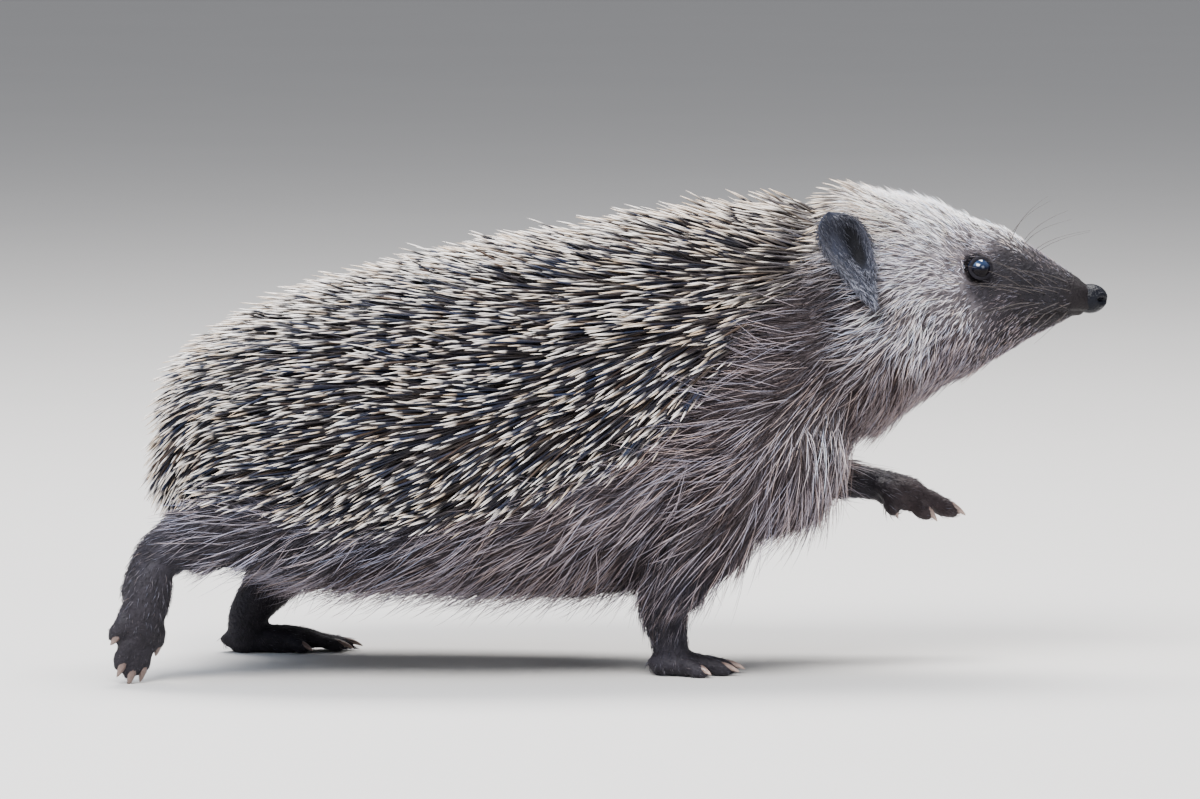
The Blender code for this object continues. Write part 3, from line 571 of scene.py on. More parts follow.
# Hair guides: place on the skin, lie, length (mm), lift (degrees), dark tone, pale tone, pale share.
BODY_HAIR = (
    # flanks and belly
    ((-60, 46, 38), (-0.90, 0, -0.38), 14, 22, SLATE, STEEL, 0.40),
    ((-62, 32, 22), (-0.62, 0.1, -0.78), 16, 34, UMBER, ASH, 0.42),
    ((-60, 0, 18), (-0.95, 0, -0.30), 12, 36, UMBER, ASH, 0.38),
    ((-20, 46, 38), (-0.88, 0, -0.42), 15, 26, UMBER, SILVER, 0.42),
    ((-22, 32, 20), (-0.58, 0.1, -0.80), 18, 35, UMBER, ASH, 0.44),
    ((-20, 0, 17), (-0.92, 0, -0.38), 13, 38, UMBER, ASH, 0.38),
    ((8, 46, 48), (-0.90, 0, -0.30), 16, 24, MOUSE, SILVER, 0.45),
    ((10, 38, 28), (-0.58, 0.1, -0.80), 17, 28, UMBER, TAUPE, 0.45),
    ((8, 0, 20), (-0.80, 0, -0.50), 13, 38, UMBER, ASH, 0.38),
    ((32, 42, 64), (-0.96, 0, -0.15), 17, 22, UMBER, SILVER, 0.52),
    ((46, 38, 84), (-0.97, 0, 0.05), 15, 20, UMBER, SILVER, 0.41),
    # shoulders, chest and throat
    ((30, 40, 44), (-0.70, 0, -0.68), 17, 26, UMBER, SILVER, 0.32),
    ((50, 36, 58), (-0.45, 0, -0.88), 17, 26, UMBER, SILVER, 0.40),
    ((60, 26, 56), (0.10, 0.1, -0.98), 16, 28, UMBER, SILVER, 0.44),
    ((62, 31, 67), (-0.30, 0.1, -0.94), 14, 27, UMBER, FROST, 0.52),
    ((62, 0, 52), (0.18, 0, -0.98), 14, 28, UMBER, TAUPE, 0.40),
    ((44, 0, 32), (-0.45, 0, -0.88), 14, 26, UMBER, TAUPE, 0.38),
    ((60, 36, 78), (-0.78, 0, -0.55), 15, 22, UMBER, TAUPE, 0.37),
    ((70, 26, 70), (-0.40, 0.1, -0.90), 14, 26, UMBER, TAUPE, 0.44),
    ((74, 0, 64), (-0.25, 0, -0.96), 12, 26, UMBER, TAUPE, 0.42),
    ((56, 34, 98), (-0.92, 0, -0.25), 13, 20, UMBER, SILVER, 0.35),
    # haunches, rump and tail
    ((-88, 46, 46), (-0.98, 0, -0.08), 14, 20, SLATE, STEEL, 0.38),
    ((-104, 42, 44), (-0.97, 0, -0.18), 11, 18, SLATE, STEEL, 0.36),
    ((-82, 40, 31), (-0.85, 0, -0.48), 14, 22, SLATE, STEEL, 0.37),
    ((-104, 28, 29), (-0.70, 0, -0.68), 10, 20, SLATE, ASH, 0.38),
    ((-120, 8, 44), (-0.30, 0, -0.94), 9, 22, UMBER, ASH, 0.35),
    ((-120, 0, 32), (-0.70, 0, -0.70), 3, 14, UMBER, ASH, 0.25),
    # crown, forehead and cheeks
    ((68, 0, 128), (-0.95, 0, 0.15), 9, 30, UMBER, IVORY, 0.68),
    ((74, 14, 124), (-0.96, 0.1, 0.05), 8, 24, UMBER, IVORY, 0.66),
    ((86, 0, 124), (-0.94, 0.1, 0.20), 6.5, 28, UMBER, WHITE, 0.78),
    ((88, 13, 119), (-0.94, 0.2, 0.10), 5.5, 20, UMBER, WHITE, 0.80),
    ((100, 0, 120), (-0.90, 0.2, 0.25), 4.6, 24, UMBER, WHITE, 0.72),
    ((99, 10, 115), (-0.90, 0.1, 0.25), 3.8, 16, UMBER, FROST, 0.58),
    ((76, 26, 112), (-0.90, 0.1, -0.20), 8, 20, UMBER, FROST, 0.60),
    ((86, 22, 106), (-0.86, 0.1, -0.35), 6.5, 18, UMBER, FROST, 0.74),
    ((72, 30, 100), (-0.80, 0, -0.55), 10, 20, UMBER, FROST, 0.42),
    # painted shadow: dark hair on the neck under the ear stands for the ear's shadow there
    ((64, 31, 101), (-0.80, 0, -0.55), 9, 16, SOOT, MOUSE, 0.40),
    ((86, 26, 92), (-0.62, 0, -0.75), 8, 22, UMBER, FROST, 0.48),
    ((80, 26, 80), (-0.45, 0, -0.88), 10, 24, UMBER, TAUPE, 0.44),
    ((94, 20, 88), (-0.65, 0, -0.72), 7, 20, UMBER, SILVER, 0.50),
    ((92, 0, 76), (-0.75, 0, -0.60), 8, 20, UMBER, TAUPE, 0.44),
    ((97, 18, 99), (-0.82, 0, -0.50), 4.8, 17, UMBER, FROST, 0.52),
    # mask, muzzle and chin
    ((100.6, 16, 103), (-0.90, 0, -0.30), 2.2, 12, SOOT, DUSK, 0.34),
    ((100.6, 14, 112), (-0.90, 0, 0.40), 2.4, 14, SOOT, ASH, 0.34),
    ((106, 12, 108), (-0.95, 0, 0.05), 2.4, 12, SOOT, DUSK, 0.34),
    ((94, 17.5, 108), (-0.95, 0, 0.02), 4.0, 15, UMBER, FROST, 0.62),
    ((110, 0, 117), (-0.92, 0, 0.35), 3.2, 22, UMBER, WHITE, 0.52),
    ((118, 0, 111), (-0.90, 0, 0.40), 2.4, 16, SOOT, ASH, 0.40),
    ((114, 9, 105), (-0.95, 0, 0.10), 2.2, 12, SOOT, DUSK, 0.32),
    ((122, 5, 101), (-0.95, 0.1, 0.05), 1.8, 10, SOOT, DUSK, 0.28),
    ((108, 13, 98), (-0.88, 0, -0.35), 3.2, 14, SOOT, ASH, 0.38),
    ((110, 8, 91), (-0.85, 0, -0.45), 4.0, 16, SOOT, SILVER, 0.36),
    ((120, 0, 93), (-0.95, 0, -0.25), 2.6, 12, SOOT, ASH, 0.35),
)
RIGHT_LEG_HAIR = (
    ((20, -31, 30), (-0.35, 0, -0.92), 11, 18, SLATE, ASH, 0.28),
    ((15, -26, 19), (-0.22, 0, -0.97), 6.5, 15, SLATE, ASH, 0.17),
    ((17, -21, 10), (-0.10, 0, -0.99), 3.4, 12, SLATE, DUSK, 0.24),
    ((24, -19, 5), (0.98, 0, -0.15), 2.0, 11, SOOT, DUSK, 0.20),
    ((-114, -37, 37), (-0.85, 0, -0.45), 4.6, 13, SLATE, DUSK, 0.34),
    ((-121, -35, 28), (-0.30, 0, -0.95), 3.0, 13, SOOT, DUSK, 0.26),
    ((-127, -34, 10), (-0.30, 0, -0.95), 1.4, 11, SOOT, DUSK, 0.22),
)
LEFT_LEG_HAIR = (
    ((58, 30, 50), (0.95, 0, -0.25), 6, 14, UMBER, ASH, 0.28),
    ((70, 29, 48), (0.98, 0, -0.15), 3.2, 11, SOOT, DUSK, 0.30),
    ((86, 28, 43), (0.96, 0, -0.24), 2.4, 11, (0.026, 0.018, 0.020), DUSK, 0.22),
    ((-90, 37, 22), (-0.45, 0, -0.88), 4, 12, SLATE, ASH, 0.26),
    ((-98, 34, 12), (-0.20, 0, -0.97), 2.2, 10, SOOT, SLATE, 0.22),
    ((-86, 34, 4), (0.99, 0, -0.10), 2.0, 11, SOOT, DUSK, 0.20),
)

# Spine guides: place, lie, length (mm), lift (degrees), how much further the pale band reaches.
SPINE_GUIDES = (
    ((78, 0, 126), (-0.98, 0.06, 0.12), 7.5, 26, 0.75),
    ((68, 0, 129), (-0.98, 0.10, 0.10), 14, 28, 0.46),
    ((58, 0, 126), (-0.98, 0.06, 0.16), 19, 35, 0.36),
    ((74, 18, 120), (-0.98, 0.05, 0.05), 7.5, 22, 0.75),
    ((62, 22, 120), (-0.98, 0.05, 0.00), 15, 22, 0.38),
    ((52, 32, 106), (-0.90, 0.06, -0.36), 17, 17, 0.34),
    ((44, 0, 124), (-0.99, 0.08, 0.10), 19, 29, 0.28),
    ((10, 0, 121), (-0.98, 0.10, 0.10), 21, 29, 0.10),
    ((-30, 0, 110), (-0.98, 0.12, 0.05), 21, 29, 0.00),
    ((-70, 0, 98), (-0.97, 0.12, 0.00), 21, 27, 0.00),
    ((-100, 0, 80), (-0.95, 0.12, -0.10), 20, 27, -0.22),
    ((20, 36, 104), (-0.95, 0.12, -0.22), 21, 20, 0.21),
    ((-30, 40, 88), (-0.97, 0.05, -0.12), 21, 20, -0.11),
    ((-75, 40, 76), (-0.97, 0.05, -0.14), 21, 20, -0.28),
    ((32, 44, 84), (-0.72, 0.05, -0.66), 19, 17, -0.06),
    ((10, 49, 70), (-0.76, 0.03, -0.62), 20, 17, -0.29),
    ((-20, 50, 60), (-0.86, 0.02, -0.45), 20, 18, -0.42),
    ((-55, 49, 55), (-0.92, 0.02, -0.34), 20, 18, -0.45),
    ((-90, 44, 58), (-0.92, 0.05, -0.34), 20, 19, -0.42),
    ((-112, 26, 58), (-0.78, 0.20, -0.52), 19, 22, -0.38),
    ((-118, 0, 62), (-0.60, 0.05, -0.78), 18, 26, -0.38),
    ((-112, 34, 50), (-0.72, 0.20, -0.62), 17, 20, -0.32),
)


def guide_rows(both, right=(), left=()):
    """Guide rows as arrays of places, lies and the other columns, with those of both sides mirrored."""
    places, lies, rest = [], [], []
    for rows, mirrors in ((both, (1, -1)), (right, (1,)), (left, (1,))):
        for place, lie, *others in rows:
            for mirror in mirrors:
                places.append((place[0], place[1] * mirror, place[2]))
                lies.append((lie[0], lie[1] * mirror, lie[2]))
                rest.append(np.concatenate([np.atleast_1d(other) for other in others]))
    return np.array(places, float), np.array(lies, float), np.array(rest, float)


HAIR_ROWS = guide_rows(BODY_HAIR, RIGHT_LEG_HAIR, LEFT_LEG_HAIR)
SPINE_ROWS = guide_rows(SPINE_GUIDES)
GUIDE_BLUR = 6.0  # how softly the rows run into each other, in square millimetres
GUIDE_FALL = 2.5


def guided(rows, points):
    """Lie and the other columns at each point, weighed towards the nearest guides."""
    guide_places, guide_lies, guide_rest = rows
    places = drawing_mm(points)
    gaps = ((places[:, None, :] - guide_places[None, :, :]) ** 2).sum(axis=2)
    weights = 1 / (gaps + GUIDE_BLUR) ** GUIDE_FALL
    weights /= weights.sum(axis=1, keepdims=True)
    return unit(weights @ guide_lies), weights @ guide_rest


def along_skin(lies, normals):
    return unit(lies - normals * (lies * normals).sum(axis=1, keepdims=True))


def wobble(points, size, seed):
    """Smooth random waves over space, about -1 to 1."""
    rng = np.random.default_rng(seed)
    total = np.zeros(len(points))
    for _ in range(5):
        direction = rng.normal(size=3)
        direction *= rng.uniform(0.6, 1.5) / np.linalg.norm(direction)
        total += np.sin(drawing_mm(points) @ direction * (2 * math.pi / size) + rng.uniform(0, 6.28))
    return total / 2.6


# Lower hem of the spines along the body: x, and the height of the lowest roots there.
MANTLE_HEM = (
    (-125.0, -112.0, -100.0, -86.0, -73.0, -60.0, -42.0, -20.0, -2.0, 12.0),
    (57.0, 55.0, 52.5, 51.0, 50.0, 47.0, 44.5, 46.5, 52.0, 40.0),
)
HEM_BLEND = 3.0
# Front edge of the mantle behind the ear, in the side view: x, z.
MANTLE_FRONT = ((66.0, 108.0), (50.0, 92.0), (38.0, 78.0))
# Reach of the spines on the crown.
CROWN_BACK = 50
CROWN_FRONT = 77.0
CROWN_FOOT = 111.0
CROWN_SIDE = 27

FOOT_MARGIN = 0.0004  # metres round a foot's box that still count as foot
MASK_EDGE = 0.5  # a mask says yes above this
TRIES = 3.2  # roots tried for each one that fits
AROUND = [(i, j, h) for i in (-1, 0, 1) for j in (-1, 0, 1) for h in (-1, 0, 1)]


def squared(gap):
    return gap[0] * gap[0] + gap[1] * gap[1] + gap[2] * gap[2]


class Hide:
    """The finished skin as arrays, with masks saying what grows where."""

    def __init__(self, skin, sunk, labels):
        mesh = skin.data
        mesh.calc_loop_triangles()
        self.corners = read_rows(mesh.loop_triangles, "vertices", 3, np.int32)
        self.points = points_of(mesh)
        self.normals = normals_of(mesh)
        self.edges = edges_of(mesh)
        tree = KDTree(len(sunk))
        for k, point in enumerate(sunk):
            tree.insert(point, k)
        tree.balance()
        nearest = np.array([tree.find(point)[1] for point in self.points])
        names = np.array(FLESH)[labels[nearest]]
        mantle = np.isin(names, ["spine_mantle"]).astype(float)
        head = np.isin(names, ["head", "snout", "lower_jaw"]).astype(float)
        limbs = np.isin(names, [n for n in FLESH if "leg" in n] + ["tail"]).astype(float)
        feet = np.zeros(len(self.points))
        for name in FEET_NODES:
            low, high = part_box(name)
            inside = self.points > np.array(low) - FOOT_MARGIN
            inside &= self.points < np.array(high) + FOOT_MARGIN
            feet[inside.all(axis=1)] = 1
        x, y, z = drawing_mm(self.points).T
        above_hem = np.clip((z - np.interp(x, *MANTLE_HEM)) / HEM_BLEND + 0.5, 0, 1)
        self.mantle = spread(mantle * (1 - feet), self.edges, 6)
        to_front, _ = distance_to_line(drawing_mm(self.points), MANTLE_FRONT)
        self.mantle += 0.40 * bump_profile(to_front, 9.0) * (self.mantle > 0.04)
        self.mantle *= above_hem
        crown = np.clip((CROWN_FRONT - x) / 6, 0, 1) * np.clip((z - CROWN_FOOT) / 6, 0, 1)
        crown *= np.clip((CROWN_SIDE - np.abs(y)) / 4, 0, 1) * (x > CROWN_BACK)
        self.spiny = np.maximum(self.mantle, crown)
        self.head = spread(head, self.edges, 4)
        self.feet = spread(feet, self.edges, 2)
        self.limbs = np.maximum(spread(limbs, self.edges, 4), self.feet)

    def scatter(self, weight, spacing, seed):
        """Evenly spaced roots where weight is above a half: points, normals and their weights."""
        rng = np.random.default_rng(seed)
        triangles = self.points[self.corners]
        areas = np.linalg.norm(
            np.cross(triangles[:, 1] - triangles[:, 0], triangles[:, 2] - triangles[:, 0]), axis=1) / 2
        areas = areas * (weight[self.corners].max(axis=1) > MASK_EDGE)
        cell = spacing * MM
        count = int(areas.sum() / (cell * cell) * TRIES)
        chosen = rng.choice(len(areas), size=count, p=areas / areas.sum())
        a = np.sqrt(rng.random(count))
        b = rng.random(count)
        shares = np.stack([1 - a, a * (1 - b), a * b], axis=1)
        roots = (triangles[chosen] * shares[:, :, None]).sum(axis=1)
        normals = unit((self.normals[self.corners[chosen]] * shares[:, :, None]).sum(axis=1))
        weights = (weight[self.corners[chosen]] * shares).sum(axis=1)
        taken = {}
        kept = []
        cells = np.floor(roots / cell).astype(int)
        for k in np.nonzero(weights > MASK_EDGE)[0]:
            x, y, z = cells[k]
            near = [other for i, j, h in AROUND for other in taken.get((x + i, y + j, z + h), ())]
            if all(squared(roots[other] - roots[k]) >= cell * cell for other in near):
                taken.setdefault((x, y, z), []).append(k)
                kept.append(k)
        kept = np.array(kept)
        return roots[kept], normals[kept], weights[kept]


def body_map(points):
    """Where a point lies on the skin unrolled round the body, with the seam under the belly."""
    places = drawing_mm(points)
    along = places[:, 0]
    middle = np.interp(along, (-130, -90, 0, 60, 90, 130), (48, 55, 68, 84, 98, 98))
    round_it = np.arctan2(places[:, 1], places[:, 2] - middle)
    return np.stack([along, round_it], axis=1)


LIMB_LINES = (
    ((46, 22, 56), (94, 28, 40)), ((30, -27, 44), (22, -19, 0)),
    ((-92, -32, 44), (-128, -34, 0)), ((-80, 34, 36), (-84, 34, 0)),
)


def limb_map(points):
    """The same for the legs and tail, each limb unrolled on its own strip."""
    places = drawing_mm(points)
    best = np.full(len(places), FAR_AWAY)
    result = np.zeros((len(places), 2))
    lines = LIMB_LINES + (((-112, 1, 40), (-123, 2, 28)),)
    for k, (start, end) in enumerate(lines):
        start = np.array(start, float)
        run = np.array(end, float) - start
        t = np.clip((places - start) @ run / (run @ run), 0, 1)
        away = places - start - t[:, None] * run
        gap = np.linalg.norm(away, axis=1)
        axis = unit(run)
        side = unit(np.cross(axis, (0.3, 0.9, 0.1)))
        other = np.cross(axis, side)
        angle = np.arctan2(away @ side, away @ other) / (2 * math.pi) + 0.5
        closer = gap < best
        best[closer] = gap[closer]
        result[closer] = np.stack([t, (k + 0.04 + 0.92 * angle) / len(lines)], axis=1)[closer]
    return result


# ---- strands

PATCH = 0.003  # side of one strand's patch on the map
ROOT_DEPTH = 0.0005  # metres under the skin
FLOOR_GAP = 0.0004  # lowest height of a strand, in metres


def strands(name, roots, normals, lies, across, lengths, lifts, radii, colours, rings, sides, map_places,
            curl=0.35):
    """Closed tapering strands as one mesh.

    rings: (share of the length, share of the radius) from root to just before the tip.
    colours: per strand and ring, with the tip last. across: sideways bend in millimetres.
    """
    count = len(roots)
    shares = np.array([ring[0] for ring in rings])
    girths = np.array([ring[1] for ring in rings])
    all_shares = np.append(shares, 1.0)
    sideways = unit(np.cross(lies, normals))
    rise = (all_shares - curl * all_shares ** 2)[None, :, None]
    out = all_shares[None, :, None]
    lift = np.radians(lifts)[:, None, None]
    long = (lengths * MM)[:, None, None]
    spine = roots[:, None, :] + long * (np.cos(lift) * out * lies[:, None, :]
                                        + np.sin(lift) * rise * normals[:, None, :])
    spine = spine + (across * MM)[:, None, None] * out ** 2 * sideways[:, None, :]
    spine[:, 0] -= normals * ROOT_DEPTH
    spine[:, :, 2] = np.maximum(spine[:, :, 2], FLOOR_GAP)
    direction = unit(lies * np.cos(lift[:, :, 0]) + normals * np.sin(lift[:, :, 0]) * 0.6)
    upright = unit(np.cross(sideways, direction))
    angles = 2 * math.pi * np.arange(sides) / sides + math.pi / 2
    circle = (np.cos(angles)[None, None, :, None] * sideways[:, None, None, :]
              + np.sin(angles)[None, None, :, None] * upright[:, None, None, :])
    radius = (radii * MM)[:, None, None, None] * girths[None, :, None, None]
    ring_points = spine[:, :-1, None, :] + circle * radius
    ring_count = len(rings)
    per = ring_count * sides + 1
    points = np.concatenate([ring_points.reshape(count, -1, 3), spine[:, -1:, :]], axis=1).reshape(-1, 3)

    walls = []
    for ring in range(ring_count - 1):
        for k in range(sides):
            j = (k + 1) % sides
            low = ring * sides
            walls.append((low + k, low + j, low + sides + j, low + sides + k))
    last = (ring_count - 1) * sides
    caps = [(last + k, last + (k + 1) % sides, per - 1) for k in range(sides)]
    caps += [(0, k + 1, k) for k in range(1, sides - 1)]
    first = (np.arange(count) * per)[:, None, None]
    quads = (np.array(walls)[None] + first).reshape(-1, 4)
    triangles = (np.array(caps)[None] + first).reshape(-1, 3)
    mesh = mesh_from_arrays(name, points, quads, triangles)

    tones = np.concatenate([np.repeat(colours[:, :-1], sides, axis=1), colours[:, -1:]], axis=1)
    set_colours(mesh, tones.reshape(-1, 3))

    lowest = map_places.min(axis=0)
    spread_out = map_places.max(axis=0) - lowest
    corner = (map_places - lowest) / spread_out * (1 - PATCH)
    u_share = np.append(np.tile(0.5 + 0.5 * np.cos(angles), ring_count), 0.5)
    v_share = np.append((0.78 * shares[:, None] + 0.11 * (1 + np.sin(angles))[None, :]).ravel(), 1.0)
    across_map = corner[:, :1] + PATCH * u_share[None]
    along_map = corner[:, 1:] + PATCH * v_share[None]
    places = np.stack([across_map, along_map], axis=2)
    layer = mesh.uv_layers.new(name="OFBake")
    index = read_rows(mesh.loops, "vertex_index", 1, np.int32).ravel()
    layer.data.foreach_set("uv", places.reshape(-1, 2)[index].astype(np.float32).ravel())
    return new_mesh_object(name, mesh)


def turned(lies, normals, degrees):
    """Lies turned round the normals by an angle each."""
    angle = np.radians(degrees)[:, None]
    return lies * np.cos(angle) + np.cross(normals, lies) * np.sin(angle)


def mixed(first, second, share):
    """Blend of two tones or arrays, from the first at 0 to the second at 1."""
    return np.asarray(first) * (1 - share) + np.asarray(second) * share


# ---- spines

SPINE_SPACING = 1.28
SPINE_RINGS = (
    (0.0, 0.60), (0.14, 0.92), (0.66, 1.0), (0.765, 0.98), (0.815, 0.92), (0.90, 0.62), (0.965, 0.28),
)
SPINE_PIECES = 3
SPINE_RADIUS = 0.288
SPINE_CURL = 0.22  # how far the tips bend back to the skin


def grow_spines(hide):
    ragged = hide.spiny + 0.10 * wobble(hide.points, 14, 3)
    roots, normals, weights = hide.scatter(ragged, SPINE_SPACING, 11)
    edge = np.clip((weights - 0.5) / 0.35, 0, 1)
    rng = np.random.default_rng(12)
    count = len(roots)
    lies, columns = guided(SPINE_ROWS, roots)
    sway = rng.normal(0, 6, count) + 7 * wobble(roots, 22, 5)
    lies = turned(along_skin(lies, normals), normals, sway)
    lengths = columns[:, 0] * rng.uniform(0.78, 1.14, count) * (0.78 + 0.22 * edge)
    lifts = columns[:, 1] + rng.normal(0, 6.0, count) + 3 * wobble(roots, 18, 6)
    radii = SPINE_RADIUS * rng.uniform(0.72, 1.18, count) * np.clip(columns[:, 0] / 18, 0.42, 1.0)
    radii = radii * (0.60 + 0.40 * edge)
    cream = mixed(CREAM, STRAW, rng.uniform(0, 0.95, count)[:, None] ** 2.2)
    cream = cream * (1 - 0.30 * rng.random(count)[:, None] ** 2.2)
    cool = mixed(SPINE_DARK, BLUE_GLINT, rng.random(count)[:, None] ** 1.5)
    cool = mixed(cool, BROWN_GLINT, 0.7 * (rng.random(count) < 0.09)[:, None])
    dark = cool * rng.uniform(0.5, 1.5, count)[:, None]
    base = np.array(SPINE_BASE) * rng.uniform(0.7, 1.2, count)[:, None]
    band = rng.uniform(0, 1, count)[:, None]
    paler = columns[:, 2:3]
    cream = mixed(cream, STRAW, np.clip(1.1 * paler - 0.12, 0, 0.38))
    tan = mixed(cream, STRAW, 0.35)
    upper = np.clip(0.55 * band ** 2 + 1.2 * paler, 0, 1)
    outer = np.clip(0.55 + 0.45 * band + 1.2 * np.minimum(paler, 0), 0.08, 1)
    middle = mixed(dark, cream, np.clip(1.5 * paler - 0.45, 0, 0.8))
    colours = np.stack([base * 0.5, mixed(dark, base, 0.5 * band), middle, mixed(dark, cream, upper),
                        mixed(dark, cream, outer), cream, cream, tan], axis=1)
    pieces = []
    order = rng.permutation(count)
    for k, part in enumerate(np.array_split(order, SPINE_PIECES)):
        pieces.append(strands(
            f"spines_{k + 1}", roots[part], normals[part], lies[part], rng.normal(0, 0.5, len(part)),
            lengths[part], lifts[part], radii[part], colours[part], SPINE_RINGS, 4, body_map(roots[part]),
            curl=SPINE_CURL))
    return pieces


# ---- hair

LONG_RINGS = ((0.0, 1.0), (0.34, 1.0), (0.70, 0.72))
SHORT_RINGS = ((0.0, 1.0), (0.50, 0.85))
GUARD_RINGS = ((0.0, 0.9), (0.25, 1.0), (0.52, 0.90), (0.78, 0.66))
WARM_TO_COOL = np.array((1.0, 0.0, -1.2))
HAIR_LIMIT = 0.60  # hair grows where the mantle is weaker than this
NOSE_BARE = 125.8  # no hair in front of this
BARE_ROUND_EYE = 3.7


def grow_hair(name, hide, weight, spacing, tuft, radius, rings, pieces, seed, unroll, longer=1.0,
              together=0.3, paler=0.0):
    """Tufts of strands over the places where weight is above a half."""
    rng = np.random.default_rng(seed)
    tuft_roots, tuft_normals, _ = hide.scatter(weight, spacing, seed)
    count = len(tuft_roots) * tuft
    owner = np.repeat(np.arange(len(tuft_roots)), tuft)
    lies, columns = guided(HAIR_ROWS, tuft_roots)
    length, lift = columns[:, 0] * longer, columns[:, 1]
    dark, pale, share = columns[:, 2:5], columns[:, 5:8], columns[:, 8] + paler
    sway = rng.normal(0, 6, len(tuft_roots)) + 12 * wobble(tuft_roots, 26, seed + 1)
    sway = sway + 8 * wobble(tuft_roots, 9, seed + 2)
    lies = turned(along_skin(lies, tuft_normals), tuft_normals, sway)
    tuft_lift = lift * rng.uniform(0.55, 1.25, len(lift))
    sideways = unit(np.cross(lies, tuft_normals))
    offset = rng.uniform(-0.5, 0.5, (count, 2)) * spacing * MM
    roots = tuft_roots[owner] + sideways[owner] * offset[:, :1] + lies[owner] * offset[:, 1:]
    own = rng.random(count)
    shared = rng.random(len(tuft_roots))[owner]
    is_pale = np.where(rng.random(count) < together, shared, own) < share[owner]
    long = length[owner] * rng.uniform(0.62, 1.12, count) * np.where(is_pale, 1.10, 0.82)
    gather = -offset[:, 0] / MM * np.where(is_pale, 0.2, 0.6) + rng.normal(0, 0.06, count) * long
    lifts = tuft_lift[owner] * rng.uniform(0.65, 1.30, count) * np.where(is_pale, 1.12, 0.88)
    turns = rng.normal(0, 1, count) * np.where(is_pale, 10.0, 7.0)
    deep = dark[owner] * rng.uniform(0.45, 1.25, (count, 1))
    dim = mixed(deep, pale[owner], 0.24 * rng.random((count, 1)) ** 1.6)
    tone = np.where(is_pale[:, None], pale[owner] * rng.uniform(0.70, 1.15, (count, 1)), dim)
    tone = tone * (1 + rng.normal(0, 0.07, (count, 1)) * WARM_TO_COOL)
    root_tone = mixed(dark[owner], tone, 0.25) * 0.65
    colours = [root_tone] + [mixed(root_tone, tone, min(1.0, 2.2 * ring[0])) for ring in rings[1:]]
    tip = np.where(is_pale[:, None], tone * 0.9, tone * 1.15)
    colours = np.clip(np.stack(colours + [tip], axis=1), 0.002, 0.95)
    radii = radius * rng.uniform(0.75, 1.15, count) * np.where(is_pale, 0.85, 1.10)
    radii = radii * np.clip(long / 3.5, 0.5, 1.0)
    lies = turned(lies[owner], tuft_normals[owner], turns)
    made = []
    groups = rng.integers(0, pieces, len(tuft_roots))[owner]
    flat = unroll(tuft_roots)[owner]
    for k in range(pieces):
        part = np.nonzero(groups == k)[0]
        title = name if pieces == 1 else f"{name}_{k + 1}"
        made.append(strands(
            title, roots[part], tuft_normals[owner][part], lies[part], gather[part], long[part],
            lifts[part], radii[part], colours[part], rings, 3, flat[part]))
    return made


# ---- eyes, nose, ears, claws, whiskers

def eye_mesh():
    """An eyeball with the clear bulge of its cornea in front."""
    bm = bmesh.new()
    bmesh.ops.create_uvsphere(bm, u_segments=48, v_segments=32, radius=1.0)
    for vert in bm.verts:
        bulge = math.exp(-((1 - vert.co.z) / 0.16) ** 2)
        vert.co *= EYE_RADIUS * (1 + 0.05 * bulge)
    return mesh_from_bmesh("eye", bm)


def looking(side):
    """The way an eye looks: outward, a little forward and up."""
    return Vector((0.30, 0.93 * side, 0.12)).normalized()


def make_eye(side, word):
    eye = new_mesh_object("eyeball_" + word, eye_mesh())
    place = Vector((EYE_MIDDLE.x, EYE_MIDDLE.y * side, EYE_MIDDLE.z))
    turn = looking(side).to_track_quat("Z", "Y").to_matrix().to_4x4()
    eye.data.transform(Matrix.Translation(at(*place)) @ turn @ Matrix.Scale(MM, 4))
    eye.data.shade_smooth()
    return eye


LID_HALF_WIDTH = 2.68
# Half height of the opening and thickness of the rim.
UPPER_LID = (2.50, 0.30)
LOWER_LID = (2.40, 0.27)


def lid_ring(side):
    """Upper and lower lids as one almond-shaped rim lying on the eyeball."""
    out = looking(side)
    front = Vector((0.94, -0.30 * side, 0.10))
    front = (front - out * front.dot(out)).normalized()
    up = out.cross(front)
    if up.z < 0:
        up = -up
    centre = Vector((EYE_MIDDLE.x, EYE_MIDDLE.y * side, EYE_MIDDLE.z))
    bm = bmesh.new()
    around, section = 72, 12
    rings = []
    for i in range(around):
        angle = 2 * math.pi * i / around
        half_tall, thick = UPPER_LID if math.sin(angle) > 0 else LOWER_LID
        wide = LID_HALF_WIDTH * math.cos(angle)
        tall = half_tall * math.sin(angle)
        tall *= 1 - 0.10 * math.cos(angle) ** 2
        deep = math.sqrt(max(EYE_RADIUS ** 2 - wide * wide - tall * tall, 0.2)) + 0.05
        middle = centre + front * wide + up * tall + out * deep
        away = (front * wide + up * tall).normalized()
        ring = []
        for k in range(section):
            turn = 2 * math.pi * k / section
            point = middle + away * (thick * 1.7 * math.cos(turn) + 0.34)
            point = point + out * (thick * math.sin(turn) - 0.42 * (1 + math.cos(turn)) * thick)
            ring.append(bm.verts.new(at(*point)))
        rings.append(ring)
    bridge(bm, rings, rings[1:] + rings[:1])
    return closed_mesh("lids", bm)


NOSE_RADII = np.array((4.6, 4.05, 3.95))
# Waves that pebble the nose: direction and phase.
PEBBLES = (
    ((1.0, 0.2, 0.1), 0.3), ((0.1, 1.0, 0.3), 1.1), ((0.2, -0.3, 1.0), 2.0), ((0.7, 0.7, -0.2), 2.9),
)


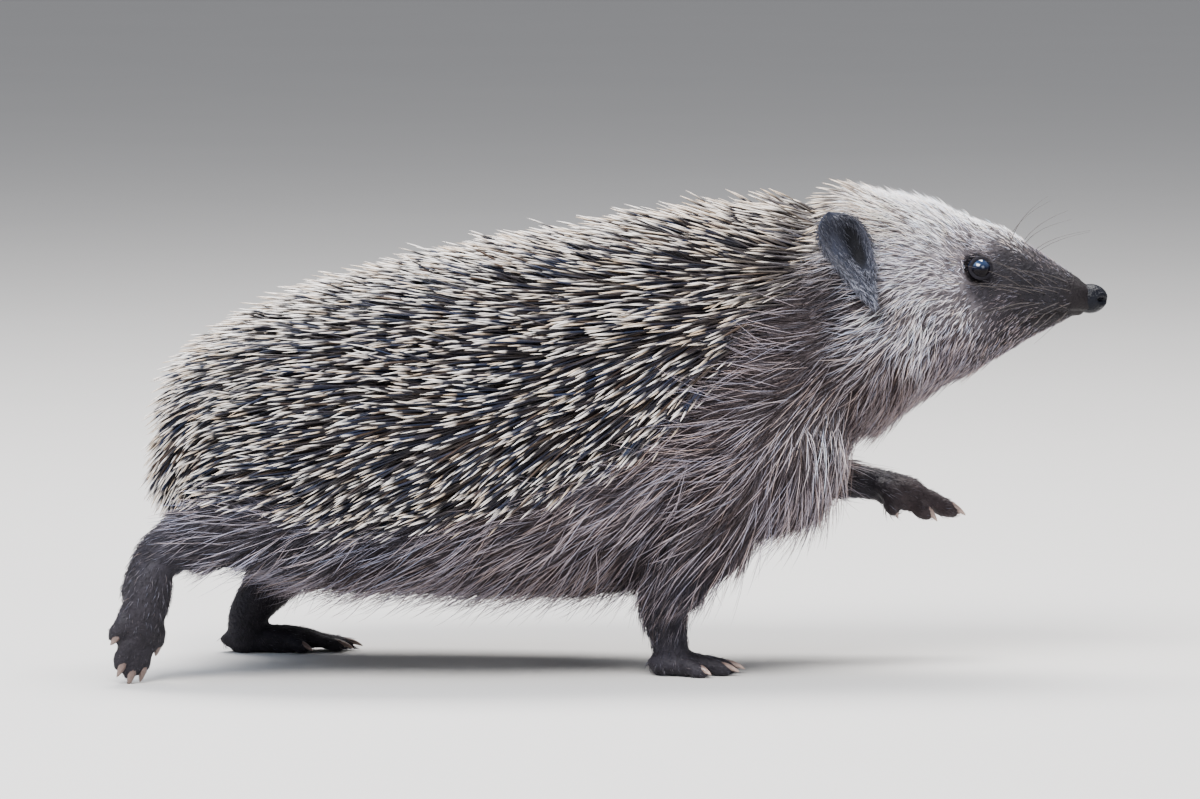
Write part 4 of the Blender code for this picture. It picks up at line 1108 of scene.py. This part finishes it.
def make_nose():
    """The nose pad: a rounded button with side slits for nostrils and a groove down the middle."""
    bm = bmesh.new()
    bmesh.ops.create_icosphere(bm, subdivisions=6, radius=1.0)
    nose = new_mesh_object("nose_pad", mesh_from_bmesh("nose_pad", bm))
    ball = unit(points_of(nose.data))
    x, y, z = ball.T
    depth = 1 + 0.05 * bump_profile(np.hypot(y, z - 0.3), 0.7) * (x > 0)
    groove = bump_profile(y, 0.085) * bump_profile(z + 0.45, 0.55) * (x > 0)
    depth -= 0.13 * groove
    for side, _ in SIDES:
        outer = unit(np.array([[0.66, 0.62 * side, -0.04]]))[0]
        apart = ball - outer
        slit = np.hypot(apart[:, 0] * 0.75 + 0.35 * apart[:, 2], apart[:, 2] * 1.5)
        depth -= 0.34 * bump_profile(np.hypot(slit, apart[:, 1] * 0.6), 0.23)
        depth += 0.05 * bump_profile(np.linalg.norm(apart, axis=1) - 0.42, 0.13)
    depth += 0.0035 * sum(np.sin(ball @ np.array(direction) * 34 + phase) for direction, phase in PEBBLES)
    shape = ball * NOSE_RADII * depth[:, None]
    set_points(nose.data, (shape * MM) + np.array(at(130.5, 0.0, 99.8)))
    nose.data.shade_smooth()
    return nose


EAR_LENGTH = 27.5
EAR_WIDTH = 17.8
EAR_CELL = 0.42
EAR_KEPT = 0.55  # share of the fused faces that is kept


def ear_axes(side):
    """Ear axes: its top, down along it, across it and away from the head."""
    down = Vector((0.40, 0.26 * side, -0.88)).normalized()
    away = Vector((0.30, 0.93 * side, 0.0))
    away = (away - down * away.dot(down)).normalized()
    across = (down.cross(away) * side).normalized()
    return Vector((61.9, 22.9 * side, 124.8)), down, across, away


def ear_flap(side):
    """A rounded, cupped flap with a rolled rim, a ridge inside and a narrow lobe below."""
    top, down, across, away = ear_axes(side)
    long_steps, wide_steps = 60, 36
    bm = bmesh.new()
    layers = {}
    for layer in (0, 1):
        for i in range(long_steps + 1):
            u = 0.5 - 0.5 * math.cos(math.pi * (0.02 + 0.95 * i / long_steps))
            half = 0.5 * EAR_WIDTH * (math.sin(math.pi * u ** 0.80)) ** 0.62 * (1 - 0.65 * u)
            body = math.sin(math.pi * u)
            for j in range(wide_steps + 1):
                v = -1 + 2 * j / wide_steps
                cup = 3.8 * v * v * body - 3.0 * body
                roll = 0.60 * math.exp(-((1 - abs(v)) / 0.12) ** 2) * body
                ridge = 1.3 * math.exp(-((v + 0.25 - 0.9 * (u - 0.5)) / 0.16) ** 2)
                ridge *= math.exp(-((u - 0.62) / 0.20) ** 2)
                flare = 4.4 * (1 - u) ** 0.8 * (0.5 - 0.5 * v)
                wave = 0.25 * math.sin(9 * u + 3 * v) * body
                middle = top + down * EAR_LENGTH * u + across * (half * v + 0.8 * u - 3.0)
                thick = 1.15 + 0.9 * u + 0.5 * (1 - abs(v))
                offset = cup + flare + wave + (thick + roll + ridge if layer else 0.0) + 0.3
                layers[layer, i, j] = bm.verts.new(at(*(middle + away * offset)))
    for i in range(long_steps):
        for j in range(wide_steps):
            corners = ((i, j), (i + 1, j), (i + 1, j + 1), (i, j + 1))
            for layer in (0, 1):
                bm.faces.new([layers[(layer,) + corner] for corner in corners])
    rim = [(i, 0) for i in range(long_steps)] + [(long_steps, j) for j in range(wide_steps)]
    rim += [(long_steps - i, wide_steps) for i in range(long_steps)]
    rim += [(0, wide_steps - j) for j in range(wide_steps)]
    for first, second in zip(rim, rim[1:] + rim[:1]):
        bm.faces.new((layers[(0,) + first], layers[(0,) + second],
                      layers[(1,) + second], layers[(1,) + first]))
    return closed_mesh("ear_flap", bm)


def make_ear(side, word):
    """The flap grown together with the stalk that seats it in the head."""
    top, down, across, away = ear_axes(side)
    stalk = []
    for share, drop, width in ((-7.0, 17.5, 2.6), (-3.0, 18.0, 2.4), (0.4, 18.5, 1.5)):
        stalk.append((*(top + down * drop - across * 0.6 + away * share), width))
    parts = [ear_flap(side), smooth_tube(stalk, 6, 20)]
    ear = new_mesh_object("ear_flap_" + word, join_to_mesh("ear_flap_" + word, parts))
    remesh(ear, EAR_CELL, 3)
    thin_out(ear, EAR_KEPT)
    ear.data.shade_smooth()
    set_colours(ear.data, ear_tones(points_of(ear.data), side))
    return ear


def ear_tones(points, side):
    """Slate blue, with painted shade that darkens the hollow and the flap near its top, and lighter at the
    rim.
    """
    top, down, across, away = ear_axes(side)
    places = drawing_mm(points) - np.array(top)
    u = places @ np.array(down) / EAR_LENGTH
    v = (places @ np.array(across) - 0.8 * u + 3.0) / (8.2 - 4.8 * u)
    # painted shade: the hollow turns nearly black and the upper part of the flap darker
    hollow = bump_profile(np.hypot((u - 0.37) / 0.38, (v - 0.44) / 0.52), 1.0)
    shade = bump_profile(np.hypot((u - 0.20) / 0.16, (v + 0.10) / 0.75), 1.0)
    rim = np.clip(np.abs(v) - 0.76, 0, 1) * 1.4
    tones = mixed((0.046, 0.052, 0.078), (0.018, 0.018, 0.023), 0.7 * shade[:, None])
    tones = mixed(tones, (0.004, 0.004, 0.005), np.clip(1.25 * hollow, 0, 0.97)[:, None])
    return mixed(tones, (0.100, 0.100, 0.125), np.clip(rim, 0, 0.45)[:, None])


def grow_ear_hair(ears):
    """Fine pale hairs lying down the length of both ears."""
    rng = np.random.default_rng(61)
    rows = []
    for ear, side in ears:
        top, down, across, away = ear_axes(side)
        mesh = ear.data
        points = points_of(mesh)
        normals = normals_of(mesh)
        u = (drawing_mm(points) - np.array(top)) @ np.array(down) / EAR_LENGTH
        # no hair on most of the hollow, where its painted shade is darkest
        bare = (ear_tones(points, side)[:, 2] < 0.012) & (rng.random(len(points)) < 0.93)
        good = np.nonzero((u > 0.02) & (u < 0.97) & ~bare)[0]
        chosen = rng.choice(good, size=min(4200, len(good)), replace=False)
        lies = np.tile(np.array(down), (len(chosen), 1)) + rng.normal(0, 0.20, (len(chosen), 3))
        light = np.clip(0.22 + 1.5 * (u[chosen] - 0.28), 0.22, 1.0)
        rows.append((points[chosen], normals[chosen], along_skin(lies, normals[chosen]), light))
    roots, normals, lies, light = (np.concatenate(column) for column in zip(*rows))
    count = len(roots)
    paleness = (light * rng.random(count) ** 2.0)[:, None]
    tone = mixed((0.022, 0.022, 0.032), (0.420, 0.440, 0.540), paleness)
    colours = np.stack([tone * 0.6, tone, tone], axis=1)
    return strands("ear_hair", roots, normals, lies, rng.normal(0, 0.2, count),
                   rng.uniform(1.6, 4.2, count), rng.uniform(8, 30, count), rng.uniform(0.045, 0.080, count),
                   colours, SHORT_RINGS, 3, body_map(roots))


def make_claws(name):
    foot = Foot(name)
    nails = [foot.claw_mesh(k) for k in range(5)]
    claws = new_mesh_object("claws_" + name, join_to_mesh("claws", nails))
    claws.data.shade_smooth()
    points = points_of(claws.data)
    points[:, 2] = np.maximum(points[:, 2], 0.00005)
    set_points(claws.data, points)
    along = np.minimum(np.arange(len(points) // 5) // CLAW_SIDES, CLAW_STEPS) / CLAW_STEPS
    tip = np.array((0.560, 0.410, 0.350)) * (HIND_HORN if "hind" in name else FORE_HORN)
    set_colours(claws.data, np.tile(mixed((0.110, 0.070, 0.060), tip, along[:, None] ** 1.4), (5, 1)))
    return claws


def hair_tube(bm, path, radius):
    """One whisker along frame points, thin to the tip."""
    rings = []
    last = len(path) - 1
    for k, point in enumerate(path):
        direction = (path[min(k + 1, last)] - path[max(k - 1, 0)]).normalized()
        across = direction.orthogonal().normalized()
        up = direction.cross(across)
        girth = radius * MM * (1 - 0.8 * k / last)
        ring = []
        for j in range(4):
            angle = math.pi * j / 2
            ring.append(bm.verts.new(point + (across * math.cos(angle) + up * math.sin(angle)) * girth))
        rings.append(ring)
    wall_tube(bm, rings)


def make_whiskers(surface):
    """Whiskers from the pads beside the nose, a few brow hairs and some on top of the snout."""
    rng = np.random.default_rng(41)
    bm = bmesh.new()
    for side, _ in SIDES:
        rows = []
        for row in range(4):
            for column in range(5):
                start = Vector((124.5 - 3.2 * column, (4.4 + 1.35 * column) * side, 103.2 - 1.75 * row))
                lie = Vector((-0.72 + 0.10 * row, (0.55 + 0.05 * row) * side, 0.62 - 0.33 * row))
                rows.append((start, lie, 13 + 3.4 * column))
        for column in range(3):
            start = Vector((97.0 + 2.4 * column, 12.0 * side, 114.0))
            rows.append((start, Vector((-0.55, 0.45 * side, 0.75)), 14))
        for column in range(3):
            start = Vector((108.5 + 3.0 * column, 4.0 * side, 115.0 - 2.0 * column))
            rows.append((start, Vector((0.30 + 0.15 * column, 0.35 * side, 0.80)), 15))
        for start, lie, length in rows:
            place, normal = surface.find_nearest(at(*start))[:2]
            lie = (lie.normalized() + Vector(rng.normal(0, 0.07, 3))).normalized()
            length = length * rng.uniform(0.8, 1.15) * MM
            sweep = 0.55 if lie.x > 0 else -0.35
            droop = Vector((sweep, 0.0, -0.20)) * length * rng.uniform(0.5, 1.2)
            path = [place - normal * 0.0004 + lie * length * t + droop * t * t
                    for t in (0, 0.14, 0.28, 0.42, 0.56, 0.7, 0.85, 1.0)]
            hair_tube(bm, path, 0.13)
    whiskers = new_mesh_object("whiskers", closed_mesh("whiskers", bm))
    whiskers.data.shade_smooth()
    return whiskers


BARE_PATCH = (54.8, -37.0, 72.0)
BARE_RADIUS = 3.5


def skin_tones(hide):
    """The coat's own markings on the skin, with painted shade making it darker under the long hair and
    nearly black under the spines.
    """
    lies, columns = guided(HAIR_ROWS, hide.points)
    dark, pale, share = columns[:, 2:5], columns[:, 5:8], columns[:, 8:9]
    places = drawing_mm(hide.points)
    tones = mixed(dark, pale, share * 0.10 * hide.head[:, None] + share * 0.06)
    # painted shade: the skin of the body is darkened where the long hair lies over it
    tones = mixed(tones, (0.045, 0.036, 0.036), 0.45 * (1 - np.maximum(hide.head, hide.limbs))[:, None])
    muzzle = np.clip((places[:, 0] - 100.0) / 8.0, 0, 1) * hide.head
    tones = tones * (1 - 0.50 * muzzle)[:, None]
    # painted shade: the skin under the spines is made nearly black, standing for the shade between them
    tones = mixed(tones, np.array(SPINE_DARK) * 1.3, np.clip(hide.mantle * 1.6 - 0.3, 0, 1)[:, None])
    bare = bump_profile(np.linalg.norm(places - BARE_PATCH, axis=1), BARE_RADIUS)
    tones = mixed(tones, PINK, 0.8 * bare[:, None])
    for side, _ in SIDES:
        ring = bump_profile(np.maximum(from_eye(places, side) - 3.3, 0), 1.1)
        tones = mixed(tones, (0.014, 0.012, 0.014), 0.85 * ring[:, None])
    to_mouth, _ = distance_to_line(places, MOUTH_LINE)
    lips = bump_profile(to_mouth, 1.1) * (places[:, 0] > 104)
    lips = np.maximum(lips, np.clip((places[:, 0] - 120.5) / 4.5, 0, 1))
    return mixed(tones, (0.008, 0.006, 0.007), 0.92 * lips[:, None])


# ---- materials

COLOUR = "NodeSocketColor"
VALUE = "NodeSocketFloat"


def add_node(tree, kind, place, values=None, **settings):
    """A node with its settings and the values typed into its own sockets."""
    node = tree.nodes.new(kind)
    node.location = place
    for key, value in settings.items():
        setattr(node, key, value)
    for key, value in (values or {}).items():
        node.inputs[key].default_value = value
    return node


def wire(tree, *links):
    """Links, each from a node's output to another node's input."""
    for first, leaving, second, entering in links:
        tree.links.new(first.outputs[leaving], second.inputs[entering])


def new_group(name, colours, values, output, kind):
    """A node group with colour inputs, value inputs and one output, and its two end nodes."""
    tree = bpy.data.node_groups.new(name, "ShaderNodeTree")
    for title in colours:
        tree.interface.new_socket(title, in_out="INPUT", socket_type=COLOUR)
    for title, default in values:
        socket = tree.interface.new_socket(title, in_out="INPUT", socket_type=VALUE)
        socket.default_value = default
    tree.interface.new_socket(output, in_out="OUTPUT", socket_type=kind)
    inputs = add_node(tree, "NodeGroupInput", (-800, 0))
    outputs = add_node(tree, "NodeGroupOutput", (600, 0))
    return tree, inputs, outputs


def make_mottle():
    """A colour with fine and broad changes of brightness over the surface."""
    tree, inputs, outputs = new_group(
        "mottle", ("Colour",), (("Amount", 0.3), ("Scale", 300.0)), "Colour", COLOUR)
    coords = add_node(tree, "ShaderNodeTexCoord", (-800, -300))
    noise = add_node(tree, "ShaderNodeTexNoise", (-500, -200), {"Detail": 5.0, "Roughness": 0.65})
    centred = add_node(tree, "ShaderNodeMath", (-300, -200), {1: 0.5}, operation="SUBTRACT")
    strength = add_node(tree, "ShaderNodeMath", (-120, -200), operation="MULTIPLY")
    lifted = add_node(tree, "ShaderNodeMath", (60, -200), {1: 2.0, 2: 1.0}, operation="MULTIPLY_ADD")
    scaled = add_node(tree, "ShaderNodeVectorMath", (300, 0), operation="SCALE")
    wire(tree, (coords, "Object", noise, "Vector"), (inputs, "Scale", noise, "Scale"),
         (noise, "Fac", centred, 0), (centred, 0, strength, 0), (inputs, "Amount", strength, 1),
         (strength, 0, lifted, 0), (inputs, "Colour", scaled, 0), (lifted, 0, scaled, "Scale"),
         (scaled, 0, outputs, "Colour"))
    return tree


def make_grain():
    """Heights for pores, creases and short flat hair."""
    tree, inputs, outputs = new_group("grain", (), (("Scale", 1500.0),), "Height", VALUE)
    coords = add_node(tree, "ShaderNodeTexCoord", (-800, -300))
    cells = add_node(tree, "ShaderNodeTexVoronoi", (-400, 0))
    noise = add_node(tree, "ShaderNodeTexNoise", (-400, -300), {"Detail": 6.0})
    total = add_node(tree, "ShaderNodeMath", (0, 0), {1: 0.6}, operation="MULTIPLY_ADD")
    wire(tree, (coords, "Object", cells, "Vector"), (coords, "Object", noise, "Vector"),
         (inputs, "Scale", cells, "Scale"), (inputs, "Scale", noise, "Scale"),
         (cells, "Distance", total, 0), (noise, "Fac", total, 2), (total, 0, outputs, "Height"))
    return tree


MOTTLE = make_mottle()
GRAIN = make_grain()


def add_wet_gloss(material, low, high, index, glow):
    """A clear coat that fades in over the height of the piece, with a painted sky reflection: a bluish tone
    under the coat that fades in with it.
    """
    tree = material.node_tree
    shader = next(node for node in tree.nodes if node.type == "BSDF_PRINCIPLED")
    mottle = next(node for node in tree.nodes if node.type == "GROUP")
    shader.inputs["Coat IOR"].default_value = index
    shader.inputs["Coat Roughness"].default_value = 0.02
    coords = add_node(tree, "ShaderNodeTexCoord", (-500, -600))
    parts = add_node(tree, "ShaderNodeSeparateXYZ", (-300, -600))
    fade = add_node(tree, "ShaderNodeMapRange", (-100, -600), {"From Min": low, "From Max": high},
                    interpolation_type="SMOOTHSTEP")
    # painted sky reflection: the glow tone is a bluish tint painted into the upper part of the eye
    plain = tuple(mottle.inputs["Colour"].default_value)
    tones = add_node(tree, "ShaderNodeMix", (-100, 200), {"A": plain, "B": (*glow, 1.0)},
                     data_type="RGBA")
    wire(tree, (coords, "Generated", parts, "Vector"), (parts, "Z", fade, "Value"),
         (fade, "Result", shader, "Coat Weight"), (fade, "Result", tones, "Factor"),
         (tones, "Result", mottle, "Colour"))


def make_material(name, colour=None, amount=0.3, scale=300.0, roughness=0.6, bump=0.0, grain=1500.0,
                  specular=0.5):
    """A material coloured by the coat_colour attribute, or by one tone, mottled and grained."""
    material = bpy.data.materials.new(name)
    material.use_nodes = True
    tree = material.node_tree
    tree.nodes.clear()
    output = add_node(tree, "ShaderNodeOutputMaterial", (700, 0))
    shader = add_node(tree, "ShaderNodeBsdfPrincipled", (400, 0),
                      {"Roughness": roughness, "Specular IOR Level": specular})
    mottle = add_node(tree, "ShaderNodeGroup", (100, 0), node_tree=MOTTLE)
    mottle.inputs["Amount"].default_value = amount
    mottle.inputs["Scale"].default_value = scale
    if colour is None:
        source = add_node(tree, "ShaderNodeAttribute", (-200, 0), attribute_name="coat_colour")
        wire(tree, (source, "Color", mottle, "Colour"))
    else:
        mottle.inputs["Colour"].default_value = (*colour, 1.0)
    wire(tree, (mottle, "Colour", shader, "Base Color"), (shader, "BSDF", output, "Surface"))
    if bump:
        relief = add_node(tree, "ShaderNodeGroup", (-100, -300), node_tree=GRAIN)
        relief.inputs["Scale"].default_value = grain
        bumps = add_node(tree, "ShaderNodeBump", (100, -300), {"Strength": bump, "Distance": 0.0003})
        wire(tree, (relief, "Height", bumps, "Height"), (bumps, "Normal", shader, "Normal"))
    return material


def dress(piece, material, slot, *nodes):
    piece.data.materials.clear()
    piece.data.materials.append(material)
    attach(piece, "root")
    if nodes:
        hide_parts(*nodes)
    return piece


# ---- the animal

SKIN_LOOK = make_material("hedgehog_skin", amount=0.8, scale=420.0, roughness=0.62, bump=0.85,
                          grain=1300.0, specular=0.16)
SPINE_LOOK = make_material("spine", amount=0.35, scale=500.0, roughness=0.36, specular=0.22)
HAIR_LOOK = make_material("hair", amount=0.35, scale=350.0, roughness=0.50, specular=0.20)
EYE_LOOK = make_material("eye", (0.003, 0.002, 0.003), 0.5, 500.0, 0.03, specular=0.10)
# the bluish tone given here is a painted reflection of the sky in the upper part of the eye
add_wet_gloss(EYE_LOOK, 0.44, 0.84, 1.8, (0.005, 0.018, 0.055))
LID_LOOK = make_material("eyelid", (0.012, 0.011, 0.014), 0.5, 900.0, 0.75, 0.4, 2600.0, specular=0.06)
NOSE_LOOK = make_material("nose", (0.005, 0.0055, 0.0085), 0.5, 900.0, 0.33, 0.40, 1900.0, specular=0.11)
EAR_LOOK = make_material("ear", amount=0.6, scale=520.0, roughness=0.55, bump=0.5, grain=2100.0,
                         specular=0.06)
CLAW_LOOK = make_material("claw", amount=0.5, scale=700.0, roughness=0.32, bump=0.2, grain=1700.0)
WHISKER_LOOK = make_material("whisker", (0.055, 0.045, 0.042), 0.4, 300.0, 0.45)

skin, sunk_points, sunk_labels = make_skin()
hide = Hide(skin, sunk_points, sunk_labels)
set_colours(skin.data, skin_tones(hide))
dress(skin, SKIN_LOOK, "body_fur", *FLESH, *FEET_NODES)

for spine_piece in grow_spines(hide):
    dress(spine_piece, SPINE_LOOK, "spines")

places = drawing_mm(hide.points)
bare_lids = np.ones(len(hide.points))
for side, _ in SIDES:
    bare_lids *= from_eye(places, side) > BARE_ROUND_EYE
thin_mantle = hide.mantle < HAIR_LIMIT
head = hide.head >= MASK_EDGE
limbs = hide.limbs >= MASK_EDGE
body_places = thin_mantle * (hide.head < MASK_EDGE) * (hide.limbs < MASK_EDGE) * 1.0
head_places = head * thin_mantle * bare_lids * (places[:, 0] < NOSE_BARE)
limb_places = limbs * thin_mantle * 1.0

# Name, places, spacing, strands in a tuft, radius, rings, pieces, seed, map, slot and other settings.
for name, mask, spacing, tuft, radius, rings, pieces, seed, unroll, slot, other in (
        ("body_hair", body_places, 1.44, 5, 0.104, LONG_RINGS, 3, 21, body_map, "body_fur",
         {"longer": 0.88, "paler": -0.34}),
        ("guard_hair", body_places, 2.20, 2, 0.096, GUARD_RINGS, 1, 71, body_map, "body_fur",
         {"longer": 1.32, "paler": 0.40}),
        ("face_hair", head_places, 0.80, 3, 0.112, SHORT_RINGS, 2, 31, body_map, "face_fur",
         {"together": 0.45}),
        ("leg_hair", limb_places, 1.10, 3, 0.095, SHORT_RINGS, 1, 51, limb_map, "leg_fur", {})):
    for piece in grow_hair(name, hide, mask, spacing, tuft, radius, rings, pieces, seed, unroll, **other):
        dress(piece, HAIR_LOOK, slot)

dress(make_whiskers(surface_of(skin.data)), WHISKER_LOOK, "muzzle_fur")
ears = []
for side, word in SIDES:
    dress(make_eye(side, word), EYE_LOOK, "eye_black", "eye_" + word)
    lids = new_mesh_object("eyelids_" + word, lid_ring(side))
    lids.data.shade_smooth()
    dress(lids, LID_LOOK, "muzzle_fur")
    ears.append((dress(make_ear(side, word), EAR_LOOK, "ear_skin", "ear_" + word), side))
dress(grow_ear_hair(ears), HAIR_LOOK, "ear_skin")
dress(make_nose(), NOSE_LOOK, "nose_skin", "nose")
for name in FEET_NODES:
    dress(make_claws(name), CLAW_LOOK, "foot_skin")

# ---- floor, light, camera

def make_floor():
    """A wide level studio floor."""
    bm = bmesh.new()
    bmesh.ops.create_grid(bm, x_segments=24, y_segments=24, size=16.0)
    floor = new_mesh_object("studio_floor", mesh_from_bmesh("studio_floor", bm))
    paint = make_material("floor", (0.53, 0.518, 0.506), 0.03, 5.0, 0.8, 0.05, 900.0, 0.2)
    floor.data.materials.append(paint)
    return floor


def add_area_light(name, place, target, size, power, colour):
    light = bpy.data.lights.new(name, "AREA")
    light.shape = "RECTANGLE"
    light.size, light.size_y = size
    light.energy = power
    light.color = colour
    lamp = bpy.data.objects.new(name, light)
    bpy.context.scene.collection.objects.link(lamp)
    lamp.location = place
    lamp.rotation_euler = (Vector(target) - Vector(place)).to_track_quat("-Z", "Y").to_euler()


SKY_STRENGTH = 0.49


def make_sky():
    """Soft light all round, cooler overhead."""
    world = bpy.data.worlds.new("studio")
    world.use_nodes = True
    tree = world.node_tree
    air = add_node(tree, "ShaderNodeTexCoord", (-900, 0))
    height = add_node(tree, "ShaderNodeSeparateXYZ", (-700, 0))
    rise = add_node(tree, "ShaderNodeMapRange", (-500, 0), {"From Min": 0.0, "From Max": 0.45},
                    interpolation_type="SMOOTHSTEP")
    shades = add_node(tree, "ShaderNodeMix", (-250, 0),
                      {"A": (0.60, 0.60, 0.61, 1.0), "B": (0.90, 0.93, 1.0, 1.0)}, data_type="RGBA")
    glow = tree.nodes["Background"]
    glow.inputs["Strength"].default_value = SKY_STRENGTH
    wire(tree, (air, "Generated", height, "Vector"), (height, "Z", rise, "Value"),
         (rise, "Result", shades, "Factor"), (shades, "Result", glow, "Color"))
    return world


make_floor()
for row in (
        ("key", (-0.35, -0.95, 1.25), (0.0, 0.0, 0.06), (0.9, 0.7), 62.0, (1.0, 0.975, 0.945)),
        ("front_fill", (0.9, -1.0, 0.55), (0.05, 0.0, 0.07), (0.7, 0.6), 6.0, (0.90, 0.94, 1.0)),
        ("top", (0.05, 0.45, 1.2), (0.0, 0.0, 0.06), (1.0, 0.5), 43.0, (1.0, 0.98, 0.96)),
        ("sky", (-0.66, -0.48, 1.15), (0.0, 0.0, 0.06), (1.4, 1.0), 12.0, (0.50, 0.70, 1.0))):
    add_area_light(*row)
bpy.context.scene.world = make_sky()

CAMERA_DISTANCE = 2.2
CAMERA_RAISED = math.radians(5.0)
VIEW_WIDTH = 0.324  # metres seen across at the animal
target = at(-1.6, 0.0, 72.5)
camera_data = bpy.data.cameras.new("camera")
camera_data.lens = camera_data.sensor_width * CAMERA_DISTANCE / VIEW_WIDTH
camera = bpy.data.objects.new("camera", camera_data)
bpy.context.scene.collection.objects.link(camera)
offset = Vector((0.0, -math.cos(CAMERA_RAISED), math.sin(CAMERA_RAISED))) * CAMERA_DISTANCE
camera.location = target + offset
camera.rotation_euler = (-offset).to_track_quat("-Z", "Y").to_euler()
camera_data.clip_start = 0.05
camera_data.clip_end = 20.0
bpy.context.scene.camera = camera
